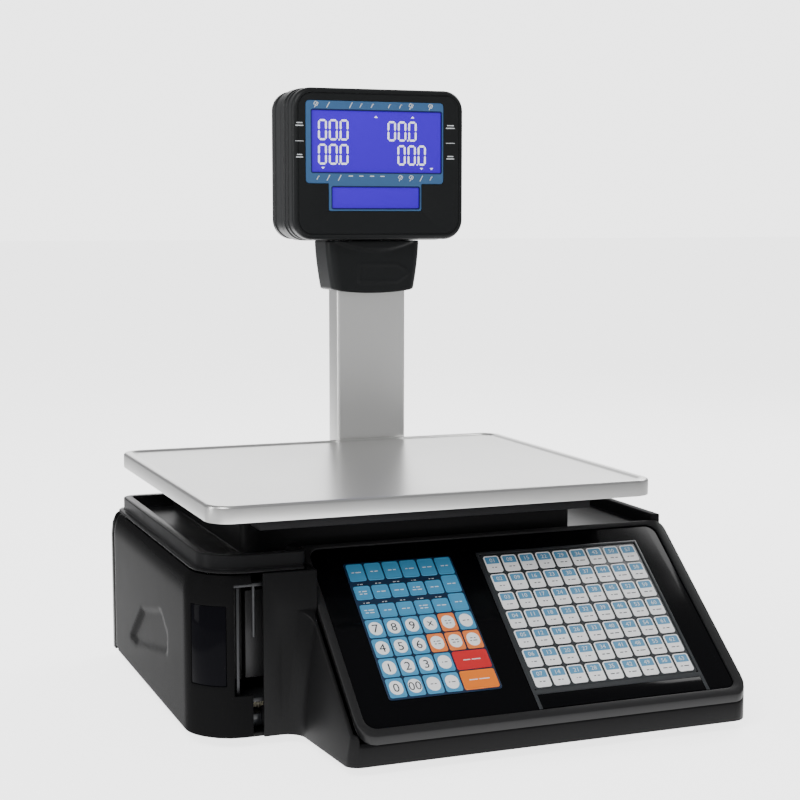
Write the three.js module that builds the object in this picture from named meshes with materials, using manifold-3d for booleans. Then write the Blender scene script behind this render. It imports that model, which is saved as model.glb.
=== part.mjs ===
// Label printing scale: a flat steel pan on a load cell, a label printer behind a
// side door, a sloped keypad console and a two-sided display head on a pole.
// Millimetres, +Z up, operator at -Y, printer at -X. The origin is on the floor
// under the middle of the whole object.
import * as THREE from "three";
import { mergeVertices } from "three/addons/utils/BufferGeometryUtils.js";
import Module from "manifold-3d";

const wasm = await Module();
wasm.setup();

// ---- Driving dimensions -------------------------------------------------
const HALF_WIDTH = 204; // side faces of the base
const FRONT_Y = -219.6; // front wall of the console
const BACK_Y = 173; // rear wall of the base
const NOSE_Y = -127.2; // front face of the printer nose
const FOOT_HEIGHT = 6; // floor to underside of the base plate
const SPLIT_Z = 129; // joint between lower case and deck
const RIM_Z = 142; // top of the deck's raised rim
const DECK_Z = 132; // deck surface inside the rim
const DECK_LEFT = -194.5; // deck is set in above the door
const WALL = 3; // moulded wall
const GAP = 0.3; // clearance between pieces that meet
const SPLIT = 0.3; // half the open line between case and deck

const CONSOLE_LEFT = -111;
const CONSOLE_TOP = { y: -80.3, z: 137.5 };
const CONSOLE_FRONT_Z = 27.6;
const BEZEL_THICKNESS = 5;
const PANEL_RECESS = 1.2;
const PANEL_THICKNESS = 2;

const BAY_RIGHT = -125; // partition face towards the printer
const DOOR_EDGE_X = -161; // door's free edge on the nose
const NOSE_WALL_X = -153; // fixed part of the nose starts here
const SHOULDER = 6; // case material left of the bezel
const FLANK_SPREAD = 10; // the console's left flank leans out to the nose
const FLANK_DRAFT = 3;
const FLANK_FILLET = 13; // radius of the corner between nose and flank
const NOSE_RADIUS = 36;
const DOOR_BOTTOM = 7.5;
const SLOT = { left: -175, bottom: 38.5, top: 121 };
const HINGE = { x: -HALF_WIDTH + 5.5, y: BACK_Y - 16, pin: 1.5 };
const LATCH_CLEARANCE = 1;
const DOOR_WINDOW = { from: 20, to: 70, low: 46, high: 106 }; // degrees round the nose, heights
const LUG = { radius: 3.4, height: 9 };
const DECK_LIP = { reach: 4.5, thickness: 2 }; // ledge that hides the joint above the door

const PAN = { width: 360, depth: 312.7, x: -15.5, y: 14.15, top: 182.4, skirt: 12.8, sheet: 1.5 };
const PAN_DISH = 1.5;
const PAN_CORNER = 18;
const PLATEAU = { left: -152, right: 128, front: -72, back: 166, top: 155 };
const CELL = { length: 130, width: 30, height: 24, bottom: 56 };
const DEFLECTION = 1; // travel of the receptor to its overload stop
const ARM = { thickness: 9, width: 24, bottom: 158 };

const POLE = { x: 42.5, y: BACK_Y + 14.6, width: 67, depth: 26.7, wall: 1.5, bottom: 44, top: 349 };
const BRACKET_EAR = 19; // flange beside the pole, which takes the screws
const COLLAR = { top: 365.3, bottom: 317, wide: POLE.width + 24, narrow: POLE.width + 13, depth: 50 };
const HEAD = { y: POLE.y - 2, width: 166.4, height: 137, depth: 68, bottom: 365.6, radius: 19 };
const PORTS = { left: -110, right: POLE.x - POLE.width / 2 - BRACKET_EAR - 2, bottom: 24, top: 88, thickness: 2 };
const SCREW = { shank: 2, head: 4 };
const SWIVEL_RADIUS = 14;
const WINDOW = { width: 133.2, height: 74, x: -4, centre: 88, tabWidth: 90, tabHeight: 24.6 };

const ROLL = { x: -163, y: 72, radius: 34, bore: 13, bottom: 40, height: 76 };
const SPOOL = { x: -163, y: 2, hub: 9, flange: 26 };
const PLATEN = { x: -168, y: -96, radius: 7, bottom: 44, top: 114 };
const GEAR = { module: 1.2, platenTeeth: 20, motorTeeth: 12, z: 22, thickness: 5, backlash: 0.35 };
const HEAD_PIVOT = { x: -147, y: -72, radius: 2 };
const FOOT_PLACES = {
  front_left: [-150, -60],
  front_right: [150, -170],
  rear_left: [-155, 130],
  rear_right: [160, 130],
};
const FOOT = { pad: 15, stud: 4, boss: 8 };

// ---- Shared helpers -------------------------------------------------------
const plate = FOOT_HEIGHT; // underside of the base
const PLATE_TOP = plate + 3.5;

function solid(geometry) {
  const bare = geometry.clone();
  bare.deleteAttribute("normal");
  bare.deleteAttribute("uv");
  const merged = mergeVertices(bare, 1e-4);
  return new wasm.Manifold(
    new wasm.Mesh({
      numProp: 3,
      vertProperties: Float32Array.from(merged.attributes.position.array),
      triVerts: Uint32Array.from(merged.index.array),
    }),
  );
}

function geometryOf(manifold) {
  const mesh = manifold.getMesh();
  const geometry = new THREE.BufferGeometry();
  geometry.setAttribute("position", new THREE.BufferAttribute(mesh.vertProperties, 3));
  geometry.setIndex(new THREE.BufferAttribute(mesh.triVerts, 1));
  geometry.computeVertexNormals();
  return geometry;
}

const join = (first, ...rest) => rest.reduce((sum, next) => sum.add(next), first);
const cut = (first, ...rest) => rest.reduce((left, next) => left.subtract(next), first);

function box(x0, x1, y0, y1, z0, z1) {
  const geometry = new THREE.BoxGeometry(x1 - x0, y1 - y0, z1 - z0);
  return solid(geometry.translate((x0 + x1) / 2, (y0 + y1) / 2, (z0 + z1) / 2));
}

// A closed outline from corners [x, y, radius]; round corners become short arcs.
function outline(corners, steps = 5) {
  const points = [];
  corners.forEach(([x, y, radius = 0], index) => {
    const corner = new THREE.Vector2(x, y);
    if (!radius) {
      points.push(corner);
      return;
    }
    const [px, py] = corners[(index + corners.length - 1) % corners.length];
    const [nx, ny] = corners[(index + 1) % corners.length];
    const back = new THREE.Vector2(px, py).sub(corner).normalize();
    const ahead = new THREE.Vector2(nx, ny).sub(corner).normalize();
    const half = Math.acos(THREE.MathUtils.clamp(back.dot(ahead), -1, 1)) / 2;
    const centre = back.clone().add(ahead).normalize().multiplyScalar(radius / Math.sin(half)).add(corner);
    const reach = radius / Math.tan(half);
    const from = back.multiplyScalar(reach).add(corner).sub(centre);
    const to = ahead.multiplyScalar(reach).add(corner).sub(centre);
    const turn = Math.atan2(from.cross(to), from.dot(to));
    for (let i = 0; i <= steps; i += 1) {
      points.push(from.clone().rotateAround(new THREE.Vector2(), (turn * i) / steps).add(centre));
    }
  });
  return new THREE.Shape(points);
}

function prism(corners, z0, z1, steps) {
  const geometry = new THREE.ExtrudeGeometry(outline(corners, steps), { depth: z1 - z0, bevelEnabled: false });
  return solid(geometry.translate(0, 0, z0));
}

// The same outline drawn in X and Z and carried along Y.
function prismY(corners, y0, y1, steps) {
  const geometry = new THREE.ExtrudeGeometry(outline(corners, steps), { depth: y1 - y0, bevelEnabled: false });
  return solid(geometry.rotateX(Math.PI / 2).translate(0, y1, 0));
}

function rectangle(x0, x1, y0, y1, radius = 0) {
  return [
    [x0, y0, radius],
    [x1, y0, radius],
    [x1, y1, radius],
    [x0, y1, radius],
  ];
}

// Cylinders, upright or along Y or X, from one end to the other.
function rod(x, y, z0, z1, radius, sides = 20) {
  const geometry = new THREE.CylinderGeometry(radius, radius, z1 - z0, sides);
  return solid(geometry.rotateX(Math.PI / 2).translate(x, y, (z0 + z1) / 2));
}

function rodY(x, z, y0, y1, radius, sides = 20) {
  const geometry = new THREE.CylinderGeometry(radius, radius, y1 - y0, sides);
  return solid(geometry.translate(x, (y0 + y1) / 2, z));
}

// Everything on the side of a plane that its normal points to.
function beyond(point, normal, reach = 1000) {
  const geometry = new THREE.BoxGeometry(reach, reach, reach).translate(0, 0, reach / 2);
  const turn = new THREE.Quaternion().setFromUnitVectors(new THREE.Vector3(0, 0, 1), normal);
  return solid(geometry.applyQuaternion(turn).translate(point.x, point.y, point.z));
}

// An upright gear with straight-sided teeth.
function gear(x, y, z0, z1, teeth, phase, bore) {
  const pitch = (GEAR.module * teeth) / 2;
  const points = [];
  const halfTooth = (Math.PI / teeth) * 0.5;
  const slack = GEAR.backlash / pitch / 2;
  for (let i = 0; i < teeth; i += 1) {
    const middle = phase + (i * 2 * Math.PI) / teeth;
    const profile = [
      [pitch - 1.2 * GEAR.module, -1.45],
      [pitch + 0.85 * GEAR.module, -0.5],
      [pitch + 0.85 * GEAR.module, 0.5],
      [pitch - 1.2 * GEAR.module, 1.45],
    ];
    profile.forEach(([radius, side]) => {
      const angle = middle + side * halfTooth - Math.sign(side) * slack;
      points.push(new THREE.Vector2(x + radius * Math.cos(angle), y + radius * Math.sin(angle)));
    });
  }
  const geometry = new THREE.ExtrudeGeometry(new THREE.Shape(points), { depth: z1 - z0, bevelEnabled: false });
  const wheel = solid(geometry.translate(0, 0, z0));
  return bore ? cut(wheel, rod(x, y, z0 - 1, z1 + 1, bore, 16)) : wheel;
}

const scale = new THREE.Group();
scale.name = "label_printing_scale";

function material(color, roughness, metalness = 0) {
  return new THREE.MeshStandardMaterial({ color, roughness, metalness });
}

const black = () => material(0x17181a, 0.35);
const blackGloss = () => material(0x08090b, 0.12);
const steel = () => material(0xb9bbbd, 0.3, 0.9);
const zinc = () => material(0x9aa0a4, 0.45, 0.8);
const rubber = () => material(0x1b1b1c, 0.9);
const circuit = () => material(0x1d5a35, 0.6);

function add(name, shape, look, parent = scale) {
  const mesh = new THREE.Mesh(geometryOf(shape), look);
  mesh.name = name;
  parent.add(mesh);
  return mesh;
}

// ---- Console frame: +X right, +Y up the slope, +Z out of the keypad face --
const slope = Math.atan2(CONSOLE_TOP.z - CONSOLE_FRONT_Z, CONSOLE_TOP.y - FRONT_Y);
const slopeLength = Math.hypot(CONSOLE_TOP.z - CONSOLE_FRONT_Z, CONSOLE_TOP.y - FRONT_Y);
const consoleWidth = HALF_WIDTH - CONSOLE_LEFT;
const outward = new THREE.Vector3(0, -Math.sin(slope), Math.cos(slope));
const consoleCorner = new THREE.Vector3(CONSOLE_LEFT, CONSOLE_TOP.y, CONSOLE_TOP.z);
const consoleGroup = new THREE.Group();
consoleGroup.position.copy(consoleCorner);
consoleGroup.rotation.x = slope;
scale.add(consoleGroup);

// ---- Base and case ----------------------------------------------------------
// The lower case stands round the base plate. Its inset moves every face inwards.
function caseCorners(inset) {
  const flankBack = CONSOLE_LEFT - SHOULDER - FLANK_SPREAD + inset;
  const flankFront = CONSOLE_LEFT - SHOULDER + inset;
  return { flankBack, flankFront };
}

function buildBasePlate() {
  const reach = WALL + GAP;
  const { flankBack, flankFront } = caseCorners(reach);
  const corners = [
    [HALF_WIDTH - reach, BACK_Y - reach, 13],
    [-HALF_WIDTH + reach + 1, BACK_Y - reach, 2],
    [-HALF_WIDTH + reach + 1, NOSE_Y + reach, NOSE_RADIUS - reach],
    [flankBack, NOSE_Y + reach],
    [flankFront + 3, FRONT_Y + reach, 10],
    [HALF_WIDTH - reach, FRONT_Y + reach, 9],
  ];
  const bosses = Object.values(FOOT_PLACES).map(([x, y]) => rod(x, y, plate, PLATE_TOP + 7, FOOT.boss));
  const tray = join(prism(corners, plate, PLATE_TOP), ...bosses);
  const drilled = Object.values(FOOT_PLACES).map(([x, y]) => rod(x, y, plate - 1, PLATE_TOP + 8, FOOT.stud + GAP));
  const vent = (i) => box(60 + i * 14, 66 + i * 14, 20, 90, plate - 1, PLATE_TOP + 1);
  const hinge = rod(HINGE.x, HINGE.y, plate - 1, PLATE_TOP + 1, HINGE.pin + GAP, 12);
  add("base_plate", cut(tray, ...drilled, ...[0, 1, 2, 3].map(vent), hinge), black());
}

function flankPlane() {
  const top = CONSOLE_LEFT - SHOULDER;
  const a = new THREE.Vector3(top, CONSOLE_TOP.y, CONSOLE_TOP.z);
  const b = new THREE.Vector3(top, FRONT_Y, CONSOLE_FRONT_Z);
  const c = new THREE.Vector3(top - FLANK_SPREAD, NOSE_Y, plate);
  const normal = b.clone().sub(a).cross(c.clone().sub(a)).normalize();
  return { point: a, normal: normal.x > 0 ? normal.negate() : normal };
}

// A hollow fillet fills the corner between the nose and the console's leaning flank.
function flankFillet() {
  const rim = CONSOLE_TOP.z - Math.tan(slope) * (CONSOLE_TOP.y - NOSE_Y);
  const lean = FLANK_SPREAD / (rim - plate);
  const r = FLANK_FILLET;
  const arc = Array.from({ length: 9 }, (_, i) => (Math.PI / 16) * i);
  const points = [
    [-r, 2],
    [2, 2],
    [2, -r],
    ...arc.map((angle) => [r * Math.cos(angle) - r, r * Math.sin(angle) - r]),
  ];
  const shape = new THREE.Shape(points.map(([x, y]) => new THREE.Vector2(x, y)));
  const geometry = new THREE.ExtrudeGeometry(shape, { depth: SPLIT_Z - SPLIT - plate, bevelEnabled: false });
  const shear = new THREE.Matrix4().makeShear(0, 0, -lean * Math.tan(slope), 0, lean, 0);
  geometry.applyMatrix4(shear).translate(CONSOLE_LEFT - SHOULDER - FLANK_SPREAD, NOSE_Y, plate);
  return solid(geometry);
}

function buildLowerCase() {
  const outer = caseCorners(0);
  const shellOuter = prism(
    [
      [HALF_WIDTH, BACK_Y, 16],
      [BAY_RIGHT, BACK_Y],
      [BAY_RIGHT, NOSE_Y + WALL],
      [NOSE_WALL_X, NOSE_Y + WALL],
      [NOSE_WALL_X, NOSE_Y],
      [outer.flankBack, NOSE_Y],
      [outer.flankFront - FLANK_DRAFT, FRONT_Y, 12],
      [HALF_WIDTH, FRONT_Y, 12],
    ],
    plate,
    SPLIT_Z - SPLIT,
  );
  const cavity = prism(
    [
      [HALF_WIDTH - WALL, BACK_Y - WALL, 13],
      [BAY_RIGHT + WALL, BACK_Y - WALL],
      [BAY_RIGHT + WALL, NOSE_Y + WALL],
      [outer.flankBack + WALL, NOSE_Y + WALL],
      [outer.flankFront, FRONT_Y + WALL, 9],
      [HALF_WIDTH - WALL, FRONT_Y + WALL, 9],
    ],
    plate - 1,
    SPLIT_Z + 1,
  );
  const { point, normal } = flankPlane();
  const ahead = (y) => box(-400, 400, FRONT_Y - 50, y, -10, 300);
  const outsideFlank = beyond(point, normal).intersect(ahead(NOSE_Y));
  const innerPoint = point.clone().addScaledVector(normal, -WALL);
  const flankWall = beyond(innerPoint, normal).intersect(ahead(NOSE_Y + WALL));
  const rearWall = box(-HALF_WIDTH, BAY_RIGHT + 1, BACK_Y - WALL, BACK_Y, plate, SPLIT_Z - SPLIT);
  const keeper = box(NOSE_WALL_X, NOSE_WALL_X + 5, NOSE_Y + WALL - 1, NOSE_Y + WALL + 6, 14, 28);
  const rearPost = box(-HALF_WIDTH, -HALF_WIDTH + WALL, BACK_Y - 8.5, BACK_Y, plate, SPLIT_Z - SPLIT);
  const overBezel = (depth) => beyond(consoleCorner.clone().addScaledVector(outward, -depth), outward);
  const bezelEdge = CONSOLE_LEFT - GAP;
  const bezelSeat = overBezel(BEZEL_THICKNESS + GAP).intersect(
    box(bezelEdge, 400, FRONT_Y - 50, CONSOLE_TOP.y - 3, 0, 300),
  );
  const overShoulder = overBezel(1).intersect(box(-400, bezelEdge, FRONT_Y - 50, NOSE_Y, 0, 300));
  const cheek = box(
    CONSOLE_LEFT - SHOULDER,
    bezelEdge,
    NOSE_Y,
    CONSOLE_TOP.y,
    CONSOLE_TOP.z - 55,
    SPLIT_Z - SPLIT,
  );
  const seatTop = PLATE_TOP + GAP;
  const plateSeat = box(BAY_RIGHT - 1, BAY_RIGHT + WALL + 1, NOSE_Y + WALL, BACK_Y - WALL, plate - 1, seatTop);
  const { left, right, bottom, top } = PORTS;
  const portHole = box(left + 4, right - 4, BACK_Y - WALL - 1, BACK_Y + 1, bottom + 4, top - 4);
  const shell = cut(
    join(cut(shellOuter, cut(cavity, flankWall)), join(rearWall, rearPost).intersect(bayBlock(0)), keeper, cheek),
    outsideFlank,
    plateSeat,
    portHole,
    ...bracketScrewPlaces().map(([x, z]) => rodY(x, z, BACK_Y - WALL - 1, BACK_Y + 1, SCREW.shank + GAP, 12)),
  );
  add("lower_case", cut(join(shell, flankFillet()), bezelSeat, overShoulder), black());
}

// The deck closes the case: rim, sunken surface, and a raised plateau under the pan.
function deckCorners(inset, frontY) {
  return [
    [HALF_WIDTH - inset, BACK_Y - inset, 16 - inset],
    [DECK_LEFT + inset, BACK_Y - inset, 12 - inset],
    [DECK_LEFT + inset, NOSE_Y + 6 + inset, 30 - inset],
    [CONSOLE_LEFT - SHOULDER - inset, NOSE_Y + 6 + inset, 8 - inset / 2],
    [CONSOLE_LEFT - SHOULDER - inset, frontY + inset],
    [HALF_WIDTH - inset, frontY + inset],
  ];
}

function buildDeck() {
  const frontY = CONSOLE_TOP.y + GAP + 0.5;
  const hub = receptorHub();
  const shell = prism(deckCorners(0, frontY), SPLIT_Z + SPLIT, RIM_Z);
  const tray = prism(deckCorners(8, frontY - 20), DECK_Z, RIM_Z + 1);
  const under = prism(deckCorners(WALL, frontY), SPLIT_Z - 1, DECK_Z - WALL + 1);
  const { left, right, front, back, top } = PLATEAU;
  const plateau = prism(rectangle(left, right, front, back, 14), DECK_Z - 2, top);
  const ledge = box(-HALF_WIDTH, CONSOLE_LEFT - 9, NOSE_Y, BACK_Y, SPLIT_Z, RIM_Z);
  const lipTop = SPLIT_Z + SPLIT + DECK_LIP.thickness;
  const lip = prism(deckCorners(-DECK_LIP.reach, frontY), SPLIT_Z + SPLIT, lipTop).intersect(ledge);
  const room = prism(rectangle(left + WALL, right - WALL, front + WALL, back - WALL, 11), SPLIT_Z - 1, top - WALL);
  const throat = box(hub.x0 - 4, hub.x1 + 4, hub.y0 - 4, hub.y1 + 4, SPLIT_Z, top + 1);
  add("deck", cut(join(cut(join(shell, lip), tray, under), plateau), room, throat), black());
}

function buildFeet() {
  Object.entries(FOOT_PLACES).forEach(([place, [x, y]]) => {
    const pad = rod(x, y, 0, FOOT_HEIGHT - GAP, FOOT.pad, 28);
    const stud = rod(x, y, 1, PLATE_TOP + 12, FOOT.stud, 16);
    add("foot_" + place, join(pad, stud), rubber());
  });
}

function buildBubbleLevel() {
  const cup = rod(172, 112, DECK_Z + GAP, DECK_Z + 6, 9, 24);
  add("bubble_level", cup, material(0xb8d86a, 0.15));
}

// ---- Weighing train --------------------------------------------------------
function receptorHub() {
  const x = PAN.x + CELL.length / 2 - 15;
  return { x0: x - 12, x1: x + 12, y0: PAN.y - 12, y1: PAN.y + 12 };
}

function buildLoadCell() {
  const half = CELL.length / 2;
  const y0 = PAN.y - CELL.width / 2;
  const y1 = PAN.y + CELL.width / 2;
  const top = CELL.bottom + CELL.height;
  const beam = box(PAN.x - half, PAN.x + half, y0, y1, CELL.bottom, top);
  const middle = CELL.bottom + CELL.height / 2;
  const bores = [-14, 14].map((dx) => rodY(PAN.x + dx, middle, y0 - 1, y1 + 1, 9.5, 24));
  const link = box(PAN.x - 14, PAN.x + 14, y0 - 1, y1 + 1, middle - 3, middle + 3);
  add("load_cell", cut(beam, ...bores, link), material(0xc9ccce, 0.35, 0.9));

  const x1 = PAN.x - half + 34;
  const pillar = box(PAN.x - half, x1, y0, y1, PLATE_TOP + GAP, CELL.bottom - GAP);
  const foot = box(PAN.x - half - 16, x1 + 16, y0 - 14, y1 + 14, PLATE_TOP + GAP, PLATE_TOP + 6);
  add("load_cell_pedestal", join(pillar, foot), zinc());

  const hub = receptorHub();
  const cx = (hub.x0 + hub.x1) / 2;
  const stop = join(
    rod(cx, PAN.y, PLATE_TOP + GAP, PLATE_TOP + 8, 11, 6),
    rod(cx, PAN.y, PLATE_TOP + 1, CELL.bottom - DEFLECTION - GAP, 5, 16),
  );
  add("overload_stop_screw", stop, zinc());
}

function buildReceptor() {
  const hub = receptorHub();
  const base = CELL.bottom + CELL.height + DEFLECTION + GAP;
  const top = ARM.bottom + ARM.thickness;
  const column = box(hub.x0, hub.x1, hub.y0, hub.y1, base, top);
  const reachX = PAN.width / 2 - 44;
  const reachY = PAN.depth / 2 - 40;
  const rails = [-1, 1].map((side) => {
    const y = PAN.y + side * reachY;
    return box(PAN.x - reachX, PAN.x + reachX, y - ARM.width / 2, y + ARM.width / 2, ARM.bottom, top);
  });
  const ties = [-1, 1].map((side) => {
    const x = PAN.x + side * 60;
    return box(x - ARM.width / 2, x + ARM.width / 2, PAN.y - reachY, PAN.y + reachY, ARM.bottom, top);
  });
  const bridge = box(PAN.x - 60, PAN.x + 60, PAN.y - 20, PAN.y + 20, ARM.bottom, top);
  add("pan_carrier", join(column, ...rails, ...ties, bridge), material(0x2b2d30, 0.5, 0.4));
  let number = 1;
  for (const sx of [-1, 1]) {
    for (const sy of [-1, 1]) {
      const x = PAN.x + sx * (reachX - 14);
      const y = PAN.y + sy * reachY;
      const underside = PAN.top - PAN_DISH - PAN.sheet;
      add("pan_pad_" + number, rod(x, y, top + GAP, underside - GAP, 9, 20), rubber());
      number += 1;
    }
  }
}

function buildPan() {
  const { x, y, width, depth, top, skirt, sheet } = PAN;
  const at = (inset) => {
    const half = { x: width / 2 - inset, y: depth / 2 - inset };
    return rectangle(x - half.x, x + half.x, y - half.y, y + half.y, PAN_CORNER - inset);
  };
  const outside = prism(at(0), top - skirt, top);
  const dish = prism(at(4), top - PAN_DISH, top + 1);
  const below = prism(at(sheet), top - skirt - 1, top - PAN_DISH - sheet);
  add("weighing_pan", cut(outside, dish, below), steel());
}

// ---- Printer bay --------------------------------------------------------------
// The bay's skin bulges: its top edge curves in to meet the deck.
function bayBlock(inset) {
  const corners = [
    [-HALF_WIDTH + inset, NOSE_Y + inset, NOSE_RADIUS - inset],
    [0, NOSE_Y + inset],
    [0, 300],
    [-HALF_WIDTH + inset, 300],
  ];
  const roll = 20;
  const shape = outline(corners, 8);
  const depth = SPLIT_Z - roll + 60;
  const geometry = new THREE.ExtrudeGeometry(shape, {
    depth,
    bevelThickness: roll,
    bevelSize: 8,
    bevelOffset: -8,
    bevelSegments: 3,
  });
  return solid(geometry.translate(0, 0, -60 - (inset ? 0.01 : 0)));
}

function windowSector(fromDeg, toDeg, r0, r1, z0, z1) {
  const cx = -HALF_WIDTH + NOSE_RADIUS;
  const cy = NOSE_Y + NOSE_RADIUS;
  const points = [];
  const steps = 8;
  const at = (radius, degrees) => {
    const angle = THREE.MathUtils.degToRad(180 + degrees);
    points.push(new THREE.Vector2(cx + radius * Math.cos(angle), cy + radius * Math.sin(angle)));
  };
  for (let i = 0; i <= steps; i += 1) at(r1, fromDeg + ((toDeg - fromDeg) * i) / steps);
  for (let i = steps; i >= 0; i -= 1) at(r0, fromDeg + ((toDeg - fromDeg) * i) / steps);
  const geometry = new THREE.ExtrudeGeometry(new THREE.Shape(points), { depth: z1 - z0, bevelEnabled: false });
  return solid(geometry.translate(0, 0, z0));
}

function buildDoor() {
  const skin = cut(bayBlock(0), bayBlock(WALL));
  const region = join(
    box(-HALF_WIDTH - 26, -HALF_WIDTH + 20, NOSE_Y - 20, HINGE.y + 3.5, DOOR_BOTTOM, SPLIT_Z - SPLIT - 1),
    box(-HALF_WIDTH - 26, DOOR_EDGE_X, NOSE_Y - 20, NOSE_Y + 20, DOOR_BOTTOM, SPLIT_Z - SPLIT - 1),
  );
  const exit = box(SLOT.left, DOOR_EDGE_X + 5, NOSE_Y - 10, NOSE_Y + 10, SLOT.bottom, SLOT.top);
  const { from, to, low, high } = DOOR_WINDOW;
  const view = windowSector(from, to, NOSE_RADIUS - WALL - 4, NOSE_RADIUS + 4, low, high);
  const lug = (z) =>
    cut(
      join(
        box(-HALF_WIDTH + WALL - 1, HINGE.x, HINGE.y - LUG.radius, HINGE.y + LUG.radius, z, z + LUG.height),
        rod(HINGE.x, HINGE.y, z, z + LUG.height, LUG.radius, 16),
      ),
      rod(HINGE.x, HINGE.y, z - 1, z + LUG.height + 1, HINGE.pin + GAP, 12),
    );
  // Behind the hinge the door swings inwards, over the base plate.
  const tailTop = PLATE_TOP + GAP;
  const tail = box(-HALF_WIDTH - 26, -HALF_WIDTH + 20, HINGE.y - 4, HINGE.y + 4, DOOR_BOTTOM - 1, tailTop);
  const shell = cut(skin.intersect(region), exit, view, tail);
  add("printer_door", join(shell, lug(20), lug(88)), blackGloss());
  const glass = windowSector(from + 0.6, to - 0.6, NOSE_RADIUS - 2.6, NOSE_RADIUS - 0.8, low + GAP, high - GAP);
  add("door_window", glass, material(0x23272a, 0.08));
  add("door_hinge_pin", rod(HINGE.x, HINGE.y, plate + 0.2, SPLIT_Z - 20, HINGE.pin, 12), steel());
  const x = DOOR_EDGE_X - 10;
  const y = NOSE_Y + WALL + LATCH_CLEARANCE; // the bolt draws back behind the curved skin
  const bolt = join(box(x, x + 10, y, y + 3, 16, 26), box(x + 8, DOOR_EDGE_X + 4, y, y + 2, 19, 23));
  add("door_latch", bolt, material(0x2a2c2e, 0.5));
}

function buildPrinterFrame() {
  const x = BAY_RIGHT - GAP;
  const wall = box(x - 2, x, -112, 120, PLATE_TOP + GAP, 122);
  const floor = box(-190, x, -46, 120, PLATE_TOP + GAP, PLATE_TOP + 2.3);
  const shelf = join(box(-183, x, -112, -64, 32, 35), box(-176, -150, NOSE_Y + WALL + 1.7, -111, 32, 35));
  const crown = join(box(-180, x, -112, -64, 118.5, 121), box(-175, -152, NOSE_Y + WALL + 2.2, -111, 118.5, 121));
  const guide = rod(-158, NOSE_Y + WALL + 6, 80, 119, 1.5, 12);
  const bearing = (y0, y1) => [
    rod(PLATEN.x, PLATEN.y, y0, y1, 3.4, 16),
    rod(HEAD_PIVOT.x, HEAD_PIVOT.y, y0, y1, HEAD_PIVOT.radius + GAP, 16),
  ];
  const sockets = [ROLL, SPOOL].map(({ x: cx, y: cy }) => rod(cx, cy, PLATE_TOP, PLATE_TOP + 5, 5 + GAP, 20));
  const plates = join(wall, floor, shelf, crown, guide);
  add("printer_frame", cut(plates, ...bearing(31, 36), ...bearing(118, 122), ...sockets), zinc());
  const eye = box(-162, x - 2 - GAP, -58, -50, 84, 92);
  const gapSlot = box(-163, -152, -55.5, -52.5, 83, 93);
  add("label_sensor", cut(eye, gapSlot), material(0x202225, 0.5));
}

function buildPrinterTrain() {
  const { x, y, radius, bottom, top } = PLATEN;
  const spindle = rod(x, y, 18, 122.5, 3, 16);
  const wheel = gear(x, y, GEAR.z, GEAR.z + GEAR.thickness, GEAR.platenTeeth, 0, 0);
  add("platen_roller", join(spindle, rod(x, y, bottom, top, radius, 24), wheel), rubber());

  const distance = (GEAR.module * (GEAR.platenTeeth + GEAR.motorTeeth)) / 2 + 0.25;
  const motorX = x + distance;
  const phase = Math.PI + Math.PI / GEAR.motorTeeth;
  const pinion = gear(motorX, y, GEAR.z, GEAR.z + GEAR.thickness, GEAR.motorTeeth, phase, 0);
  const shaft = rod(motorX, y, PLATE_TOP + 3, GEAR.z + 1, 2, 12);
  add("motor_pinion", join(pinion, shaft), material(0xd9d2b8, 0.5));
  const can = prism(rectangle(motorX - 16, motorX + 16, y - 15, y + 16, 3), PLATE_TOP + GAP, GEAR.z - 2);
  const socket = rod(motorX, y, PLATE_TOP + 2.7, GEAR.z, 2 + GAP, 12);
  add("stepper_motor", cut(can, socket), material(0x3b3e42, 0.45, 0.6));

  const faceX = x + radius + 0.5;
  const blade = box(faceX, -153, y - 9, y + 9, bottom + 2, top - 2);
  const sink = box(-154.5, -144, y - 9, HEAD_PIVOT.y + 4, bottom + 2, top - 2);
  const pivot = rod(HEAD_PIVOT.x, HEAD_PIVOT.y, 30.5, 122, HEAD_PIVOT.radius, 16);
  add("print_head", join(blade, sink, pivot), material(0xa9adb0, 0.4, 0.8));
  const boss = rod(HEAD_PIVOT.x, HEAD_PIVOT.y, top - 2 + GAP, 118, 5.5, 20);
  const arm = box(-177, HEAD_PIVOT.x, HEAD_PIVOT.y - 6, HEAD_PIVOT.y - 1, top + 0.6, 118);
  const bore = rod(HEAD_PIVOT.x, HEAD_PIVOT.y, top - 3, 119, HEAD_PIVOT.radius + GAP, 16);
  add("head_release_lever", cut(join(boss, arm), bore), material(0x2f8f55, 0.4));
}

function buildLabelPath() {
  const y = NOSE_Y + WALL + 3;
  add("peel_bar", box(-172, -169.5, y, y + 2.5, 35 + GAP, 118.5 - GAP), steel());
  const roll = cut(
    rod(ROLL.x, ROLL.y, ROLL.bottom, ROLL.bottom + ROLL.height, ROLL.radius, 40),
    rod(ROLL.x, ROLL.y, ROLL.bottom - 1, ROLL.bottom + ROLL.height + 1, ROLL.bore, 24),
  );
  add("label_roll", roll, material(0xf2f1ec, 0.8));
  const { x, y: ry } = ROLL;
  const holder = join(
    rod(x, ry, PLATE_TOP + 3, ROLL.bottom + ROLL.height + 4, ROLL.bore - 0.6, 24),
    rod(x, ry, ROLL.bottom - 4, ROLL.bottom - GAP, ROLL.radius - 3, 32),
    rod(x, ry, PLATE_TOP + 0.2, PLATE_TOP + 4, 5, 20),
  );
  add("roll_spindle", holder, material(0x3a3d40, 0.5));
  const spool = join(
    rod(SPOOL.x, SPOOL.y, PLATE_TOP + 0.2, PLATE_TOP + 4, 5, 20),
    rod(SPOOL.x, SPOOL.y, PLATE_TOP + 3, 118, SPOOL.hub, 24),
    rod(SPOOL.x, SPOOL.y, 34, 37, SPOOL.flange, 32),
  );
  add("rewind_spool", spool, material(0x3a3d40, 0.5));
}

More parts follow.
